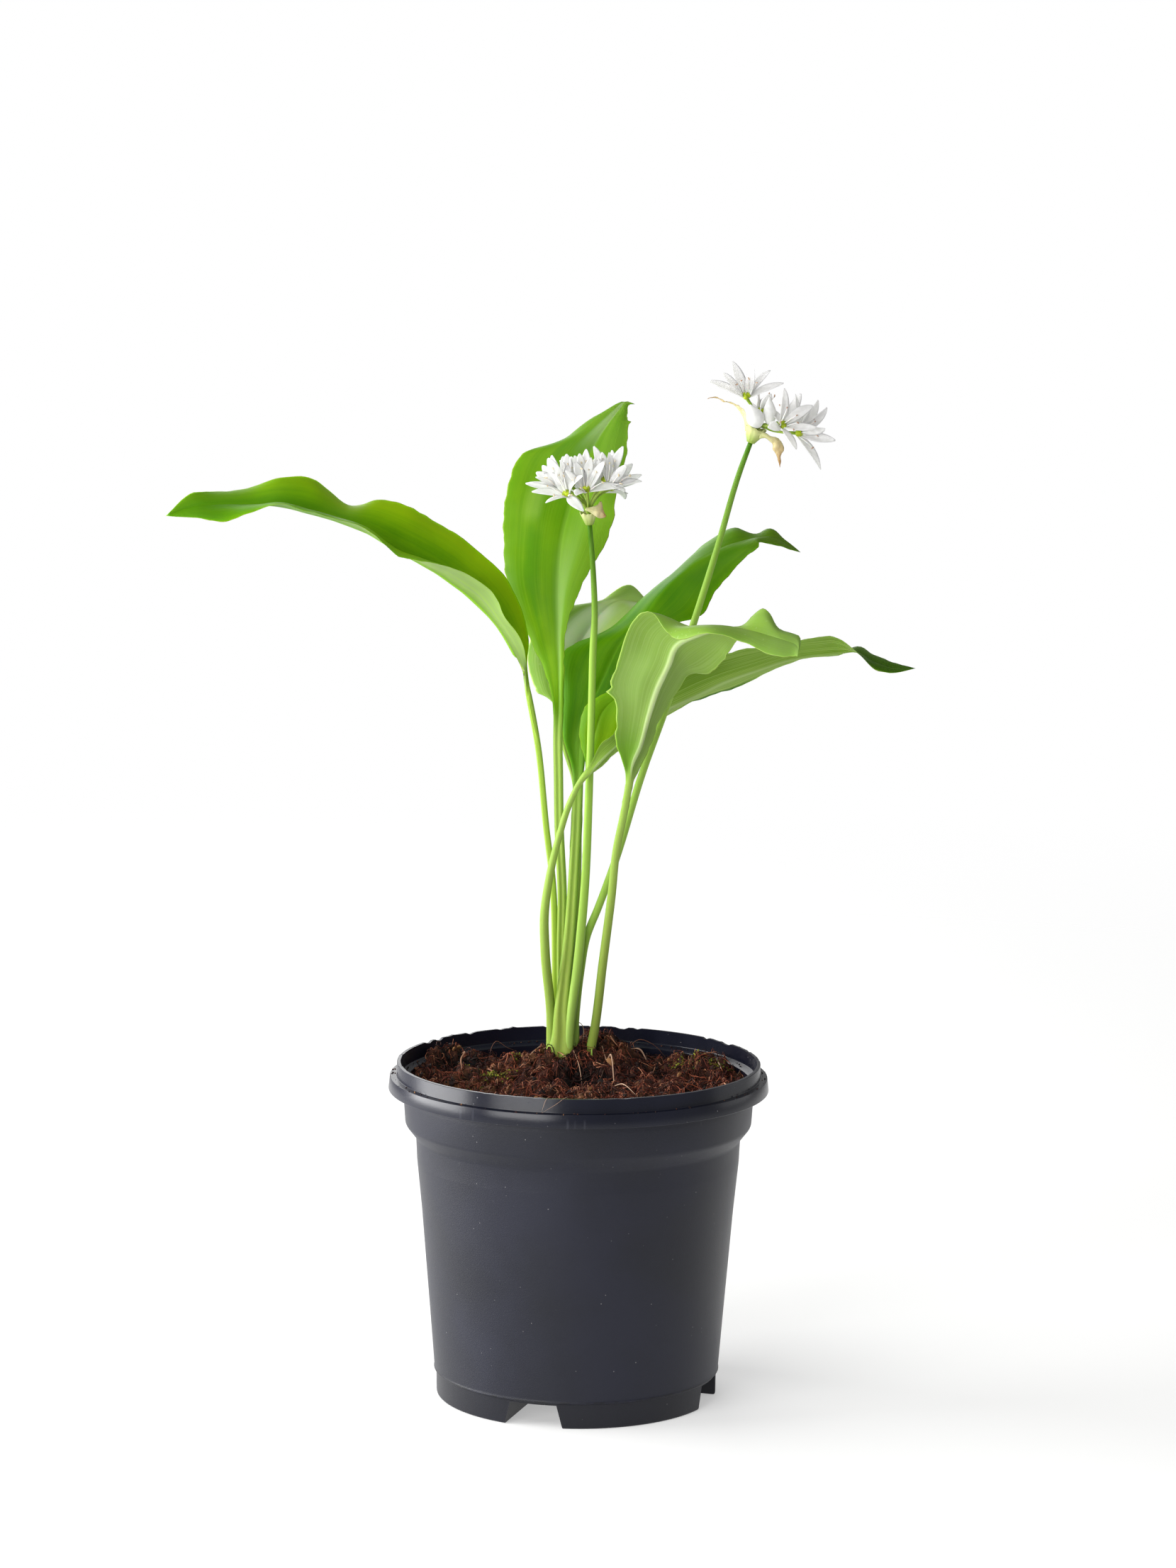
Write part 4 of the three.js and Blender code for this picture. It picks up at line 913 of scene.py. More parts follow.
# Leaves. A stalk point is [x, y, z, half width]. Each blade row gives the left edge, the midrib and the
# right edge, looking from the stalk to the tip at the upper face. Rows of five add a point on each half.
# Spurs are lobes and notches of an edge: blade row, side with 1 for the right, reach and spread in rows.
stemFoot = 101
leaves = {
    "leafLeftArching": {
        "node": "leaf_left_arching",
        "slot": "leaf_green",
        "stalk": [
            [-8.6, 27.8, stemFoot, 1.3], [-8.6, 27.8, 116, 1.3], [-8.5, 28.7, 145, 1.25],
            [-9.6, 26.4, 174, 1.2], [-11.9, 24, 193, 1.15], [-15, 21.5, 222, 1.1],
            [-18.3, 19.5, 240, 1.1],
        ],
        "blade": [
            [[-19, 18, 249], [-20, 19, 248], [-19, 20, 251]],
            [[-20, 13, 257], [-23, 18, 254], [-18.5, 22, 258]],
            [[-26, 9, 267], [-29, 17, 264], [-21.5, 23, 271]],
            [[-32, 5, 278], [-38, 16, 273], [-28.5, 24, 282]],
            [[-44, 0, 285], [-47, 14, 280], [-40, 24, 292]],
            [[-55, -5, 288], [-56, 11, 286], [-50, 21, 299]],
            [[-63, -8, 290], [-65, 8, 291], [-59, 17, 304]],
            [[-72, -10, 298], [-73, 5, 296], [-69, 16, 306.5]],
            [[-81.5, -12, 302], [-83, 2, 300], [-80, 16, 305]],
            [[-91, -14, 305], [-92, 0, 303], [-90.5, 10, 313]],
            [[-101.5, -14, 307], [-102.5, -2, 305.5], [-101, 6, 314.5]],
            [[-112, -14, 304], [-113, -4, 306], [-112, 5, 311]],
            [[-120, -13, 301], [-123, -6, 306], [-123, 1, 310]],
            [[-129, -12, 302], [-132, -8, 305], [-132, -5, 309.5]],
        ],
        "tip": [-139.7, -10, 302.5],
    },
    "leafTallBack": {
        "node": "leaf_tall_back",
        "slot": "leaf_green",
        "stalk": [
            [-4.9, 27, stemFoot, 1.6], [-4.9, 27, 116, 1.6], [-6.2, 26.4, 135, 1.6],
            [-6.4, 25.6, 150, 1.6], [-6.3, 24.5, 170, 1.6], [-7.5, 23, 193, 1.6], [-7.9, 22, 212, 1.6],
            [-8.2, 21, 225, 1.6],
        ],
        "blade": [
            [[-10, 21, 235], [-8, 21, 235], [-6.3, 20.5, 235]],
            [[-13, 23, 247], [-8, 21, 247], [-6.2, 20, 248]],
            [[-19, 27, 260], [-8.3, 22.5, 260], [-6, 21, 260.5]],
            [[-26, 31, 277], [-8.5, 25, 275], [-2, 22, 273.5]],
            [[-27.5, 35, 294.5], [-6.7, 30, 296], [9, 27, 295]],
            [[-26.5, 37, 308], [-3, 33, 309], [11, 30, 308]],
            [[-21, 40, 321], [2, 37, 321.5], [14.5, 35, 321.5]],
            [[-7, 44, 326], [8, 42, 331], [15, 41, 332]],
            [[5.5, 46, 335], [12, 45, 336.2], [14.8, 44, 335]],
            [[12, 46, 338.8], [14, 45.6, 338.7], [15.2, 45.2, 337.5]],
        ],
        "tip": [17.4, 45, 338],
        "spurs": [(7.05, 1, 1.5, 0.09), (3.3, 1, -0.5, 0.2), (4.4, 1, 0.5, 0.2), (4.2, -1, 0.5, 0.15)],
    },
    "leafDarkRight": {
        "node": "leaf_dark_right",
        "slot": "leaf_dark",
        "stalk": [
            [-6.2, 18.8, stemFoot, 4.4], [-6.2, 18.8, 115.5, 4.4], [-5.9, 19.2, 121, 3.6],
            [-6.1, 19.8, 129, 2.7], [-5.2, 20.5, 140, 2.3], [-4, 21, 151, 2.1], [-2.5, 21.5, 175, 1.8],
            [-1.3, 24, 202, 1.8],
        ],
        "blade": [
            [[-3.3, 25, 213.5], [-1, 25, 213.5], [1, 25, 214.5]],
            [[-6.6, 26.5, 224], [-0.5, 26, 223], [3, 26, 224.5]],
            [[-7, 29, 236], [2.6, 27, 234], [10.5, 26, 237]],
            [[-8, 32, 249], [7.4, 28, 245], [17, 27, 245]],
            [[-2.5, 37, 255.5], [13.4, 30, 257], [23, 28, 255]],
            [[9, 41, 260.5], [19.5, 31, 263], [29.5, 27, 262.5]],
            [[21.5, 47, 271.5], [27, 33, 273.5], [41.5, 29, 267.5]],
            [[29.5, 48, 278], [32.5, 34, 279], [45.5, 29, 275]],
            [[36.5, 49, 284.5], [39, 36, 284.5], [51.5, 31, 282]],
            [[44, 49.5, 290.5], [46, 38, 288.5], [56, 32, 286.5]],
            [[52.5, 48.5, 295.5], [53.5, 40, 291], [60, 33, 290]],
            [[60, 48.5, 293], [60.5, 42, 292.3], [61, 35.5, 291.8]],
            [[64.8, 47.5, 295.3], [65.2, 43, 292.8], [65.3, 38.5, 290.5]],
            [[69.8, 47.5, 291.7], [70.2, 45, 290.2], [70.6, 42.5, 288.7]],
        ],
        "tip": [75.5, 47, 287],
    },
    "leafSmallInner": {
        "node": "leaf_small_inner",
        "slot": "leaf_green",
        "stalk": [
            [-5.3, 23.3, stemFoot, 1], [-5.3, 23.3, 115, 1], [-2.2, 25.4, 136, 1], [1, 22.2, 173, 1],
            [2.6, 20.8, 203, 1],
        ],
        "blade": [
            [[1.3, 20.5, 214], [2.6, 20.5, 213], [4.3, 20.5, 213.5]],
            [[0, 20.5, 222], [3.5, 20, 220.5], [9.3, 19.5, 218.5]],
            [[-1, 21, 229.5], [5, 19.5, 228], [13.2, 18.5, 225.5]],
            [[0.7, 20.5, 235.5], [7, 19, 234], [15, 18, 230.5]],
            [[6.7, 19.5, 240], [11.6, 18.3, 239], [16.7, 17.5, 235.5]],
        ],
        "tip": [19, 17.3, 244],
    },
    "leafLongRight": {
        "node": "leaf_long_right",
        "slot": "leaf_pale",
        "stalk": [
            [-9.8, 23.8, stemFoot, 1.6], [-9.8, 23.8, 116, 1.6], [-9.9, 22.6, 127, 1.6],
            [-12, 17.5, 151, 1.6], [-12.3, 15.5, 164, 1.5], [-10.7, 14, 177, 1.3],
            [-7.4, 12.5, 192, 1.1], [-3.7, 11, 204, 1.05], [0.6, 10, 212.5, 1.1],
        ],
        "blade": [
            [[4.7, 12, 214.5], [4, 10, 216.5], [3.3, 9, 218]],
            [[8, 13, 217], [7.4, 10.5, 220], [6.5, 8.5, 225]],
            [[11, 14, 220], [11.2, 12, 223.7], [10.2, 8, 228]],
            [[20, 22.5, 225], [18.4, 15, 228.5], [16, 12, 238.5]],
            [[29.6, 30, 231.5], [28.2, 20, 234.3], [25.5, 15, 246]],
            [[40.6, 35, 237], [39, 23, 239], [36.5, 17, 253]],
            [[51.7, 36.5, 240], [50, 25, 244.4], [48.4, 16, 255]],
            [[61.5, 38, 245], [60, 26, 248], [58.8, 16, 257]],
            [[70.5, 38, 249], [69.5, 27, 251], [68.5, 17, 258.5]],
            [[80, 37, 251.5], [79.5, 27, 253], [78.2, 18, 260.5]],
            [[88.5, 35.5, 252.5], [88, 27, 254], [87.3, 20, 260.5]],
            [[95, 33, 256], [94.3, 26.5, 254.7], [94.7, 19.5, 254.3]],
            [[100.4, 30.5, 253.3], [99.7, 26, 251.8], [99.5, 21.5, 250.2]],
            [[106.7, 28, 251.4], [106, 25, 249.8], [105.4, 22, 248]],
        ],
        "tip": [114.5, 24, 249.5],
    },
    "leafPaleFront": {
        "node": "leaf_pale_front",
        "slot": "leaf_pale",
        "stalk": [
            [4, 22.6, stemFoot, 1.6], [4, 22.6, 115, 1.6], [5.2, 21.5, 122, 1.55], [8, 18, 147, 1.5],
            [10.7, 13, 171, 1.4], [12.3, 10, 188, 1.3], [14.5, 7, 200, 1.25], [16.4, 4, 212, 1.3],
        ],
        "blade": [
            [[19.5, 3, 216], [17, 2, 218], [14.6, 2, 217]],
            [[23.2, 2, 224.5], [20, -1, 225.5], [11.6, 0, 226]],
            [[26.6, 1, 234], [22.6, -4, 236], [11.7, -3, 238]],
            [[31.8, -1, 243.5], [25.6, -8, 246], [10, -7, 248]],
            [[36.5, -4, 250], [29, -12.5, 254], [12.7, -10, 257]],
            [[42.5, -8, 251], [31.5, -17, 261], [16, -16, 268]],
            [[47, -14, 255.5], [38, -22, 265.5], [22.5, -26, 273.3]],
            [[49.2, -19, 260], [46.5, -23, 265], [44, -28, 268], [33, -33, 269.4], [31, -37, 265.5]],
            [[52.5, -25, 265.5], [51, -29, 268.5], [49, -34, 269.4], [42.7, -40, 270.5], [40.7, -45, 268.5]],
            [[55.4, -33, 272.6], [54.8, -40, 269], [52, -48, 266.3]],
            [[60.2, -37, 275.7], [60.4, -45, 268], [59, -53, 263.4]],
            [[64.5, -43, 270], [65.5, -50, 267], [64.2, -57, 262.3]],
            [[70.7, -49, 268.4], [69.6, -54, 266], [68.5, -58, 262.7]],
        ],
        "tip": [70, -61, 263],
        "spurs": [(2.55, 1, 2.6, 0.13), (2.95, 1, 0.8, 0.2)],
    },
    "leafPaleBack": {
        "node": "leaf_pale_back",
        "slot": "leaf_pale",
        "stalk": [
            [-1.2, 27.2, stemFoot, 1.3], [-1.2, 27.2, 116, 1.3], [-2, 29, 149, 1.3], [-1, 32, 184, 1.3],
            [-2, 34, 208, 1.3], [-6, 34, 223, 1.5],
        ],
        "blade": [
            [[-9, 34, 233.5], [-7.2, 34, 232], [-4.5, 34, 232]],
            [[-16, 36, 240], [-6, 36, 241.5], [2.6, 36, 239]],
            [[-19.4, 39, 250], [-3.2, 39, 250], [8.6, 38, 246.5]],
            [[-15, 44, 261.5], [1.6, 43, 259.5], [14.7, 40, 253.5]],
            [[-5, 49, 267], [7.2, 47, 266], [19.6, 43, 259]],
            [[6, 54, 269], [12.4, 51, 269], [23.3, 46, 262]],
            [[15.4, 58, 274.3], [18, 55, 268.5], [27, 50, 262.5]],
            [[21.5, 61, 269], [23.5, 59, 265], [29.6, 55, 261]],
        ],
        "tip": [31, 62, 260],
        "spurs": [(0.8, -1, 1.2, 0.12), (0.4, -1, -0.8, 0.12)],
    },
}
leafMake = {
    "columns": 30,  # across one face
    "step": 1.3,  # between rows
    "thickness": 0.44,
    "margin": 0.35,  # band along the edge in which the blade thins out
    "swell": 0.07,
    "ribHalf": 1.5,
    "ribDepth": 1.0,
    "dip": 0.16,  # of the upper face over the rib
    "dipHalf": 0.5,
    "groove": 0.4,  # of the stalk's radius
    "grooveHalf": 0.38,  # of the stalk's half width
    "stalkDepth": 2.3,  # half of what a wide stalk measures from front to back
    "ripple": 0.5,  # of the whole blade
    "pleat": 0.12,  # lengthways folds near the stalk
    "wave": 0.35,  # of the edges
    "scallop": 0.32,
}


# Places across a row from -1 to 1: even round a stalk, on a blade close together at the rib and the edges
def acrossStalk(k):
    return math.sin(math.pi * (k / leafMake["columns"] - 0.5))


def acrossBlade(k, half, columns):
    if k in (0, columns):
        return -1 if k == 0 else 1
    s = 2 * (k - 1) / (columns - 2) - 1
    return (1 - min(leafMake["margin"] / half, 0.3)) * s * (0.5 + 0.5 * s * s)


# A row across a blade, whose halves swell a little towards the upper face. Its points have a fourth number,
# the place across.
def bladeRow(row, before, columns):
    points = [Vector(p) for p in row]
    middle, left, right = points[len(points) // 2], points[0], points[-1]
    up = (right - left).cross(middle - before).normalized()
    halves = []
    for edge, given in ((left, points[1]), (right, points[-2])):
        swollen = edge.lerp(middle, 0.5) + up * leafMake["swell"] * (edge - middle).length
        halves.append((edge, given if len(points) == 5 else swollen))
    half = (right - left).length / 2
    made = []
    for k in range(columns + 1):
        u = acrossBlade(k, half, columns)
        s = abs(u)
        edge, inner = halves[u > 0]
        point = middle * ((1 - s) * (1 - 2 * s)) + inner * (4 * s * (1 - s)) + edge * (s * (2 * s - 1))
        made.append(Vector((*point, u)))
    return made


# Rows across the stalk, which lies flat in the same plane as the first row of the blade
def stalkRows(stalk, firstBlade):
    side = (firstBlade[-1] - firstBlade[0]).to_3d().normalized()
    middles = [Vector(p[:3]) for p in stalk] + [firstBlade[len(firstBlade) // 2].to_3d()]
    places = [acrossStalk(k) for k in range(leafMake["columns"] + 1)]
    rows = []
    for i, point in enumerate(stalk):
        ahead = (middles[i + 1] - middles[i]).normalized()
        flat = (side - ahead * side.dot(ahead)).normalized()
        rows.append([Vector((*(middles[i] + flat * (u * point[3])), u)) for u in places])
    return rows


# Moves the points by what the rows leave out: ripples, pleats, wavy and scalloped edges, and spurs. Seats
# count rows from the start of the blade, and shares run from 0 there to 1 at the tip.
def unevenBlade(points, across, seats, shares, spurs, seed):
    ups = gridNormals(points)
    middle = len(points[0]) // 2
    length = 0
    for i, row in enumerate(points):
        length += (row[middle] - points[max(i - 1, 0)][middle]).length
        onBlade = smooth(0.02, 0.2, shares[i]) * smooth(1, 0.93, shares[i])
        for j, point in enumerate(row):
            u = across[i][j]
            broad, fine = noise.noise(point * 0.055 + seed), noise.noise(point * 0.16 + seed)
            lift = leafMake["ripple"] * broad + 0.35 * leafMake["ripple"] * fine
            pleats = math.cos(9.5 * u + 0.6 * math.sin(0.05 * length))
            lift += leafMake["pleat"] * pleats * (1 - shares[i])
            wave = noise.noise(Vector((0.11 * length, 5 * (u > 0), 0)) + seed)
            lift += leafMake["wave"] * abs(u) ** 4 * wave * 2
            reach = leafMake["scallop"] * noise.noise(Vector((0.33 * length, 9 * (u > 0), 4)) + seed) * 2
            for seat, side, out, spread in spurs:
                if side * u > 0:
                    reach += out * bell((seats[i] - seat) / spread)
            reach *= abs(u) ** 9 * onBlade
            outward = (row[-1] - row[0]).normalized() * (1 if u > 0 else -1)
            points[i][j] = point + ups[i][j] * (lift * onBlade) + outward * reach


# The upper and the lower skin, as rings: a blade with its rib below, that becomes a grooved stalk
def leafRings(points, across, shares, blades):
    ups = gridNormals(points)
    last = leafMake["columns"]
    rings = []
    for i, row in enumerate(points):
        share, onBlade = shares[i], blades[i]
        half = (row[-1] - row[0]).length / 2
        upper, lower = [], []
        for j, point in enumerate(row):
            u = across[i][j]
            thin = leafMake["thickness"] / 2 * (0.25 if j in (1, last - 1) else 1) * (j not in (0, last))
            thin *= (1 - 0.5 * share) * smooth(1, 0.98, share)
            arch = math.sqrt(max(0, 1 - u * u))
            stem = max(min(half, leafMake["stalkDepth"]) - leafMake["thickness"] / 2, 0) * arch
            hollow = 1 - leafMake["groove"] * bell(u / leafMake["grooveHalf"])
            keel = leafMake["ribDepth"] * (1 - share) ** 1.3 * bell(u * half / (0.62 * leafMake["ribHalf"]))
            dip = leafMake["dip"] * (1 - share) * bell(u * half / leafMake["dipHalf"])
            above = (thin - dip) * onBlade + (thin + stem * hollow) * (1 - onBlade)
            keel *= min(1, half / leafMake["ribHalf"])
            below = (thin + keel) * onBlade + (thin + stem) * (1 - onBlade)
            upper.append(point + ups[i][j] * above)
            lower.append(point - ups[i][j] * below)
        rings.append(ringOf(upper, lower))
    return rings


def makeLeaf(name, leaf, finish):
    columns, stalkEnd = leafMake["columns"], len(leaf["stalk"]) - 1
    middles = [Vector(row[len(row) // 2]) for row in leaf["blade"]]
    before = [Vector(leaf["stalk"][-1][:3])] + middles[:-1]
    bladeRows = [bladeRow(row, last, columns) for row, last in zip(leaf["blade"], before)]
    rows = stalkRows(leaf["stalk"], bladeRows[0]) + bladeRows
    rows.append([Vector((*leaf["tip"], point.w)) for point in rows[-1]])
    grid, seats = smoothRows(rows, lambda gap: max(3, round(gap / leafMake["step"])))
    points = [[point.to_3d() for point in row] for row in grid]
    across = [[point.w for point in row] for row in grid]
    bladeEnd = len(rows) - 1
    shares = [min(max((seat - stalkEnd) / (bladeEnd - stalkEnd), 0), 1) for seat in seats]
    blades = [smooth(stalkEnd - 0.3, stalkEnd + 1.2, seat) for seat in seats]
    seed = Vector((len(name) * 3.1, leaf["stalk"][0][0], leaf["tip"][2] * 0.1))
    bladeSeats = [seat - stalkEnd - 1 for seat in seats]
    unevenBlade(points, across, bladeSeats, shares, leaf.get("spurs", []), seed)
    rings = leafRings(points, across, shares, blades)
    bm = newBody("across", "share", "under", "blade")
    wind(bm, rings, {
        "across": [ringOf(row, row) for row in across],
        "share": [[share] * len(rings[0]) for share in shares],
        "under": [[0.0] * (columns + 1) + [1.0] * (columns - 1) for row in rings],
        "blade": [[blade] * len(rings[0]) for blade in blades],
    })
    makePiece(name, bm, finish, [leaf["node"]])


# Colours of the leaves, as levels of red, green and blue. The side's colour comes in from sideFrom to
# sideTo, places across; it is partly the blade's own colour and partly painted light and painted shade on
# the half of the blade that faces towards or away from the light. Patches are places of another colour, some
# the leaf's own and some painted shade, painted highlight or painted sheen: place across and half width,
# place along and half length, colour and strength.
leafLooks = {
    "leafLeftArching": {
        "dark": (88, 150, 0), "light": (126, 178, 4), "tip": (82, 136, 10), "edge": (150, 178, 20),
        "vein": (138, 178, 30), "rib": (120, 164, 30), "under": (122, 148, 84), "underTip": (140, 162, 108),
        "side": (146, 182, 6), "sideFrom": 0.1, "sideTo": 0.9,
        "patches": [(-0.2, 0.9, 0.76, 0.3, (74, 132, 4), 0.5), (0.1, 0.3, 0.3, 0.3, (104, 158, 2), 0.4)],
    },
    "leafTallBack": {
        # The tip colour, over the upper half of the blade, and the pale first patch near the tip are partly
        # painted sheen
        "dark": (80, 134, 0), "light": (112, 156, 4), "tip": (104, 144, 50), "edge": (128, 150, 30),
        "vein": (136, 176, 46), "rib": (130, 174, 62), "under": (150, 180, 90), "underTip": (140, 172, 90),
        "side": (120, 166, 40), "sideFrom": 0, "sideTo": 0.4,
        "patches": [
            (-0.1, 0.22, 0.8, 0.2, (156, 184, 122), 0.6), (0.6, 0.4, 0.8, 0.22, (86, 136, 18), 0.6),
            (0.25, 0.3, 0.24, 0.3, (134, 178, 74), 0.7), (-0.55, 0.2, 0.52, 0.06, (150, 184, 80), 0.35),
            (-0.16, 0.12, 0.35, 0.4, (90, 142, 4), 0.4), (-0.9, 0.4, 0.4, 0.4, (88, 132, 0), 0.6),
            (0.15, 0.3, 0.3, 0.16, (150, 186, 100), 0.5),
        ],
    },
    "leafDarkRight": {
        "dark": (58, 114, 0), "light": (82, 132, 0), "tip": (88, 118, 24), "edge": (90, 136, 10),
        "vein": (98, 146, 16), "rib": (96, 146, 22), "under": (116, 156, 60), "underTip": (104, 144, 64),
        "side": (82, 140, 10), "sideFrom": -0.3, "sideTo": -0.9,
        "patches": [(0.2, 0.8, 0.06, 0.16, (122, 170, 56), 0.8), (0.5, 0.3, 0.62, 0.14, (40, 96, 0), 0.4)],
    },
    "leafSmallInner": {
        "dark": (96, 142, 0), "light": (122, 164, 4), "tip": (100, 150, 4), "edge": (150, 182, 40),
        "vein": (142, 180, 40), "rib": (140, 180, 60), "under": (140, 172, 60), "underTip": (134, 170, 60),
        "side": (130, 168, 6), "sideFrom": 0, "sideTo": 0.7,
        "patches": [(-0.8, 0.3, 0.4, 0.4, (96, 148, 40), 0.6)],
    },
    "leafLongRight": {
        "dark": (84, 124, 12), "light": (96, 138, 20), "tip": (34, 72, 0), "edge": (184, 204, 110),
        "vein": (170, 198, 104), "rib": (176, 200, 130), "under": (126, 163, 56),
        "underTip": (102, 140, 32), "side": (134, 168, 76), "sideFrom": -0.1, "sideTo": -0.9, "veins": 0.6,
        "patches": [(-0.97, 0.14, 0.44, 0.1, (64, 110, 4), 1), (0.5, 0.3, 0.4, 0.12, (92, 132, 20), 0.5)],
    },
    "leafPaleFront": {
        "dark": (118, 156, 44), "light": (136, 172, 60), "tip": (112, 146, 56), "edge": (160, 188, 96),
        "vein": (148, 176, 98), "rib": (190, 210, 148), "under": (120, 150, 68), "underTip": (134, 168, 70),
        "side": (120, 156, 60), "sideFrom": 0.1, "sideTo": 0.8,
        "patches": [
            (0.6, 0.8, 0.06, 0.16, (86, 132, 16), 0.8), (0, 1.6, 0.92, 0.24, (112, 142, 66), 0.6),
            (0.6, 0.4, 0.3, 0.1, (150, 184, 96), 0.5),
        ],
    },
    "leafPaleBack": {
        # Painted light: this leaf's colours are made lighter to stand in for the light that shines through
        # it from behind, and its two whitish patches are painted highlight
        "dark": (184, 212, 118), "light": (200, 222, 150), "tip": (170, 200, 104), "edge": (196, 214, 146),
        "vein": (206, 220, 166), "rib": (206, 220, 170), "under": (180, 202, 132),
        "underTip": (174, 198, 124), "side": (106, 154, 26), "sideFrom": -0.1, "sideTo": -0.6,
        "patches": [
            (-0.1, 0.5, 0.46, 0.2, (236, 240, 222), 0.7), (0.4, 0.4, 0.8, 0.16, (240, 244, 228), 0.5),
        ],
    },
}
stalkLook = {"stalk": tint(152, 184, 86), "foot": tint(150, 172, 76), "low": 114, "high": 225}  # heights
leafGrain = {  # how often each kind of line or spot comes: across half a blade and along it, or in a metre
    "streaks": (3.2, 1.1),
    "veins": (44, 1.6),
    "threads": (30, 1.2),
    "stripes": (14, 0.8),
    "patches": 45,
    "flecks": 900,
    "sheen": 300,
}


# The upper face is darker and glossier, the underside paler; streaks and veins run from stalk to tip
def leafFinish(name, look):
    made = Finish(name, {
        "Specular IOR Level": 0.07, "Subsurface Weight": 0.3, "Subsurface Scale": 0.5 * mm,
        "Subsurface Radius": (0.6, 1.0, 0.12),
    })
    colours = {key: tint(*levels) for key, levels in look.items() if isinstance(levels, tuple)}
    across, share, under, blade = (made.mark(key) for key in ("across", "share", "under", "blade"))
    place = made.place()
    height = made.parts(place)[2]
    offRib = made.math("ABSOLUTE", across)

    def lines(kind, *third):
        over, lengthways = leafGrain[kind]
        return made.vector(across * over, share * lengthways, *third)

    streak = made.cloud(lines("streaks"), 1.7, 3)
    veins = made.cloud(lines("veins"), 1.0, 2)
    threads = made.step(made.cloud(lines("threads", 7), 1.0, 1), 0.56, 0.66)
    patches = made.cloud(place, leafGrain["patches"], 3)
    flecks = made.step(made.cloud(place, leafGrain["flecks"], 1), 0.69, 0.75)
    flecks = flecks * made.step(patches, 0.45, 0.6)
    tone = made.step(streak * 0.5 + patches * 0.5, 0.36, 0.64)
    upper = made.mix(tone, colours["dark"], colours["light"])
    # Partly the blade's own colour, partly painted light and shade: one half of the blade takes the side
    # colour
    upper = made.mix(made.step(across, look["sideFrom"], look["sideTo"]) * 0.8, upper, colours["side"])
    upper = made.mix(made.step(share, 0.45, 1.0) * 0.85, upper, colours["tip"])
    upper = made.mix(made.step(offRib, 0.94, 1.0) * 0.5, upper, colours["edge"])
    upper = made.mix(made.step(veins, 0.5, 0.7) * 0.16, upper, colours["vein"])
    upper = made.mix(threads * 0.18, upper, colours["dark"])
    rib = made.step(offRib, 0.07, 0.02) * made.step(share, 0.8, 0.1) * 0.6
    upper = made.mix(rib, upper, colours["rib"])
    upper = made.mix(flecks * 0.2, upper, colours["rib"])
    lower = made.mix(made.step(share, 0.2, 0.9), colours["under"], colours["underTip"])
    lower = made.mix(made.step(across, look["sideFrom"], look["sideTo"]) * 0.35, lower, colours["side"])
    lower = made.mix(made.step(veins, 0.42, 0.66) * look.get("veins", 0.4), lower, colours["vein"])
    rib = made.step(offRib, 0.08, 0.025) * made.step(share, 1.0, 0.25) * 0.85
    lower = made.mix(rib, lower, colours["rib"])
    lower = made.mix(made.step(offRib, 0.95, 1.0) * 0.6, lower, colours["edge"])
    high, low = stalkLook["high"] * mm, stalkLook["low"] * mm
    stem = made.mix(made.step(height, high, low), stalkLook["stalk"], stalkLook["foot"])
    stripe = made.cloud(lines("stripes", height * 4), 1.0, 2)
    stem = made.mix(made.step(stripe, 0.4, 0.66) * 0.4, stem, stalkLook["foot"])
    stem = made.mix(made.step(offRib, 0.55, 1) * 0.35, stem, colours["side"])
    colour = made.mix(under, upper, lower)
    # Patches: the leaf's own colour in some places, painted shade, painted highlight or painted sheen in
    # others
    for acrossAt, acrossHalf, shareAt, shareHalf, levels, strength in look["patches"]:
        side = made.step(made.apart(across, acrossAt), acrossHalf, 0.3 * acrossHalf)
        reach = made.step(made.apart(share, shareAt), shareHalf, 0.3 * shareHalf)
        colour = made.mix(side * reach * strength, colour, tint(*levels))
    colour = made.mix(blade, stem, colour)
    ridges = veins * 0.5 + streak * 0.5
    rough = 0.36 + made.cloud(place, leafGrain["sheen"], 2) * 0.12 + under * 0.12
    return made.finish(colour=colour, roughness=rough, normal=made.bump(ridges, 0.25 * mm, 0.5))


for name, leaf in leaves.items():
    makeLeaf(name, leaf, leafFinish(name, leafLooks[name]))
    print("leaf made:", name)

# Flower stalks, from the soil to the foot of the flower head
scapes = [
    {
        "points": [
            (-3.9, 18.6, stemFoot), (-3.9, 18.6, 108), (-3.8, 18.6, 116), (-0.3, 18, 151),
            (1.5, 17, 174), (2.6, 15, 206), (3, 13.5, 222), (3.3, 11.5, 240), (3.6, 9, 258),
            (4, 7, 267), (3.5, 4, 282), (2, 0.4, 300.6),
        ],
        "radii": (1.7, 1.6, 1.3, 1.2, 0.8),
    },
    {
        "points": [
            (-1.9, 22.8, stemFoot), (-1.9, 22.8, 110), (-1.8, 22.8, 118), (0.2, 21.9, 143),
            (2.3, 21, 155.6), (6.2, 20, 166), (11.6, 18, 181.7), (21.2, 13.5, 215), (28.5, 11, 236.4),
            (37.7, 7.5, 266.5), (45.2, 4.5, 292), (52.6, 1, 319), (56, 0, 328.6),
        ],
        "radii": (1.5, 1.4, 1.3, 1.2, 0.8),
    },
]

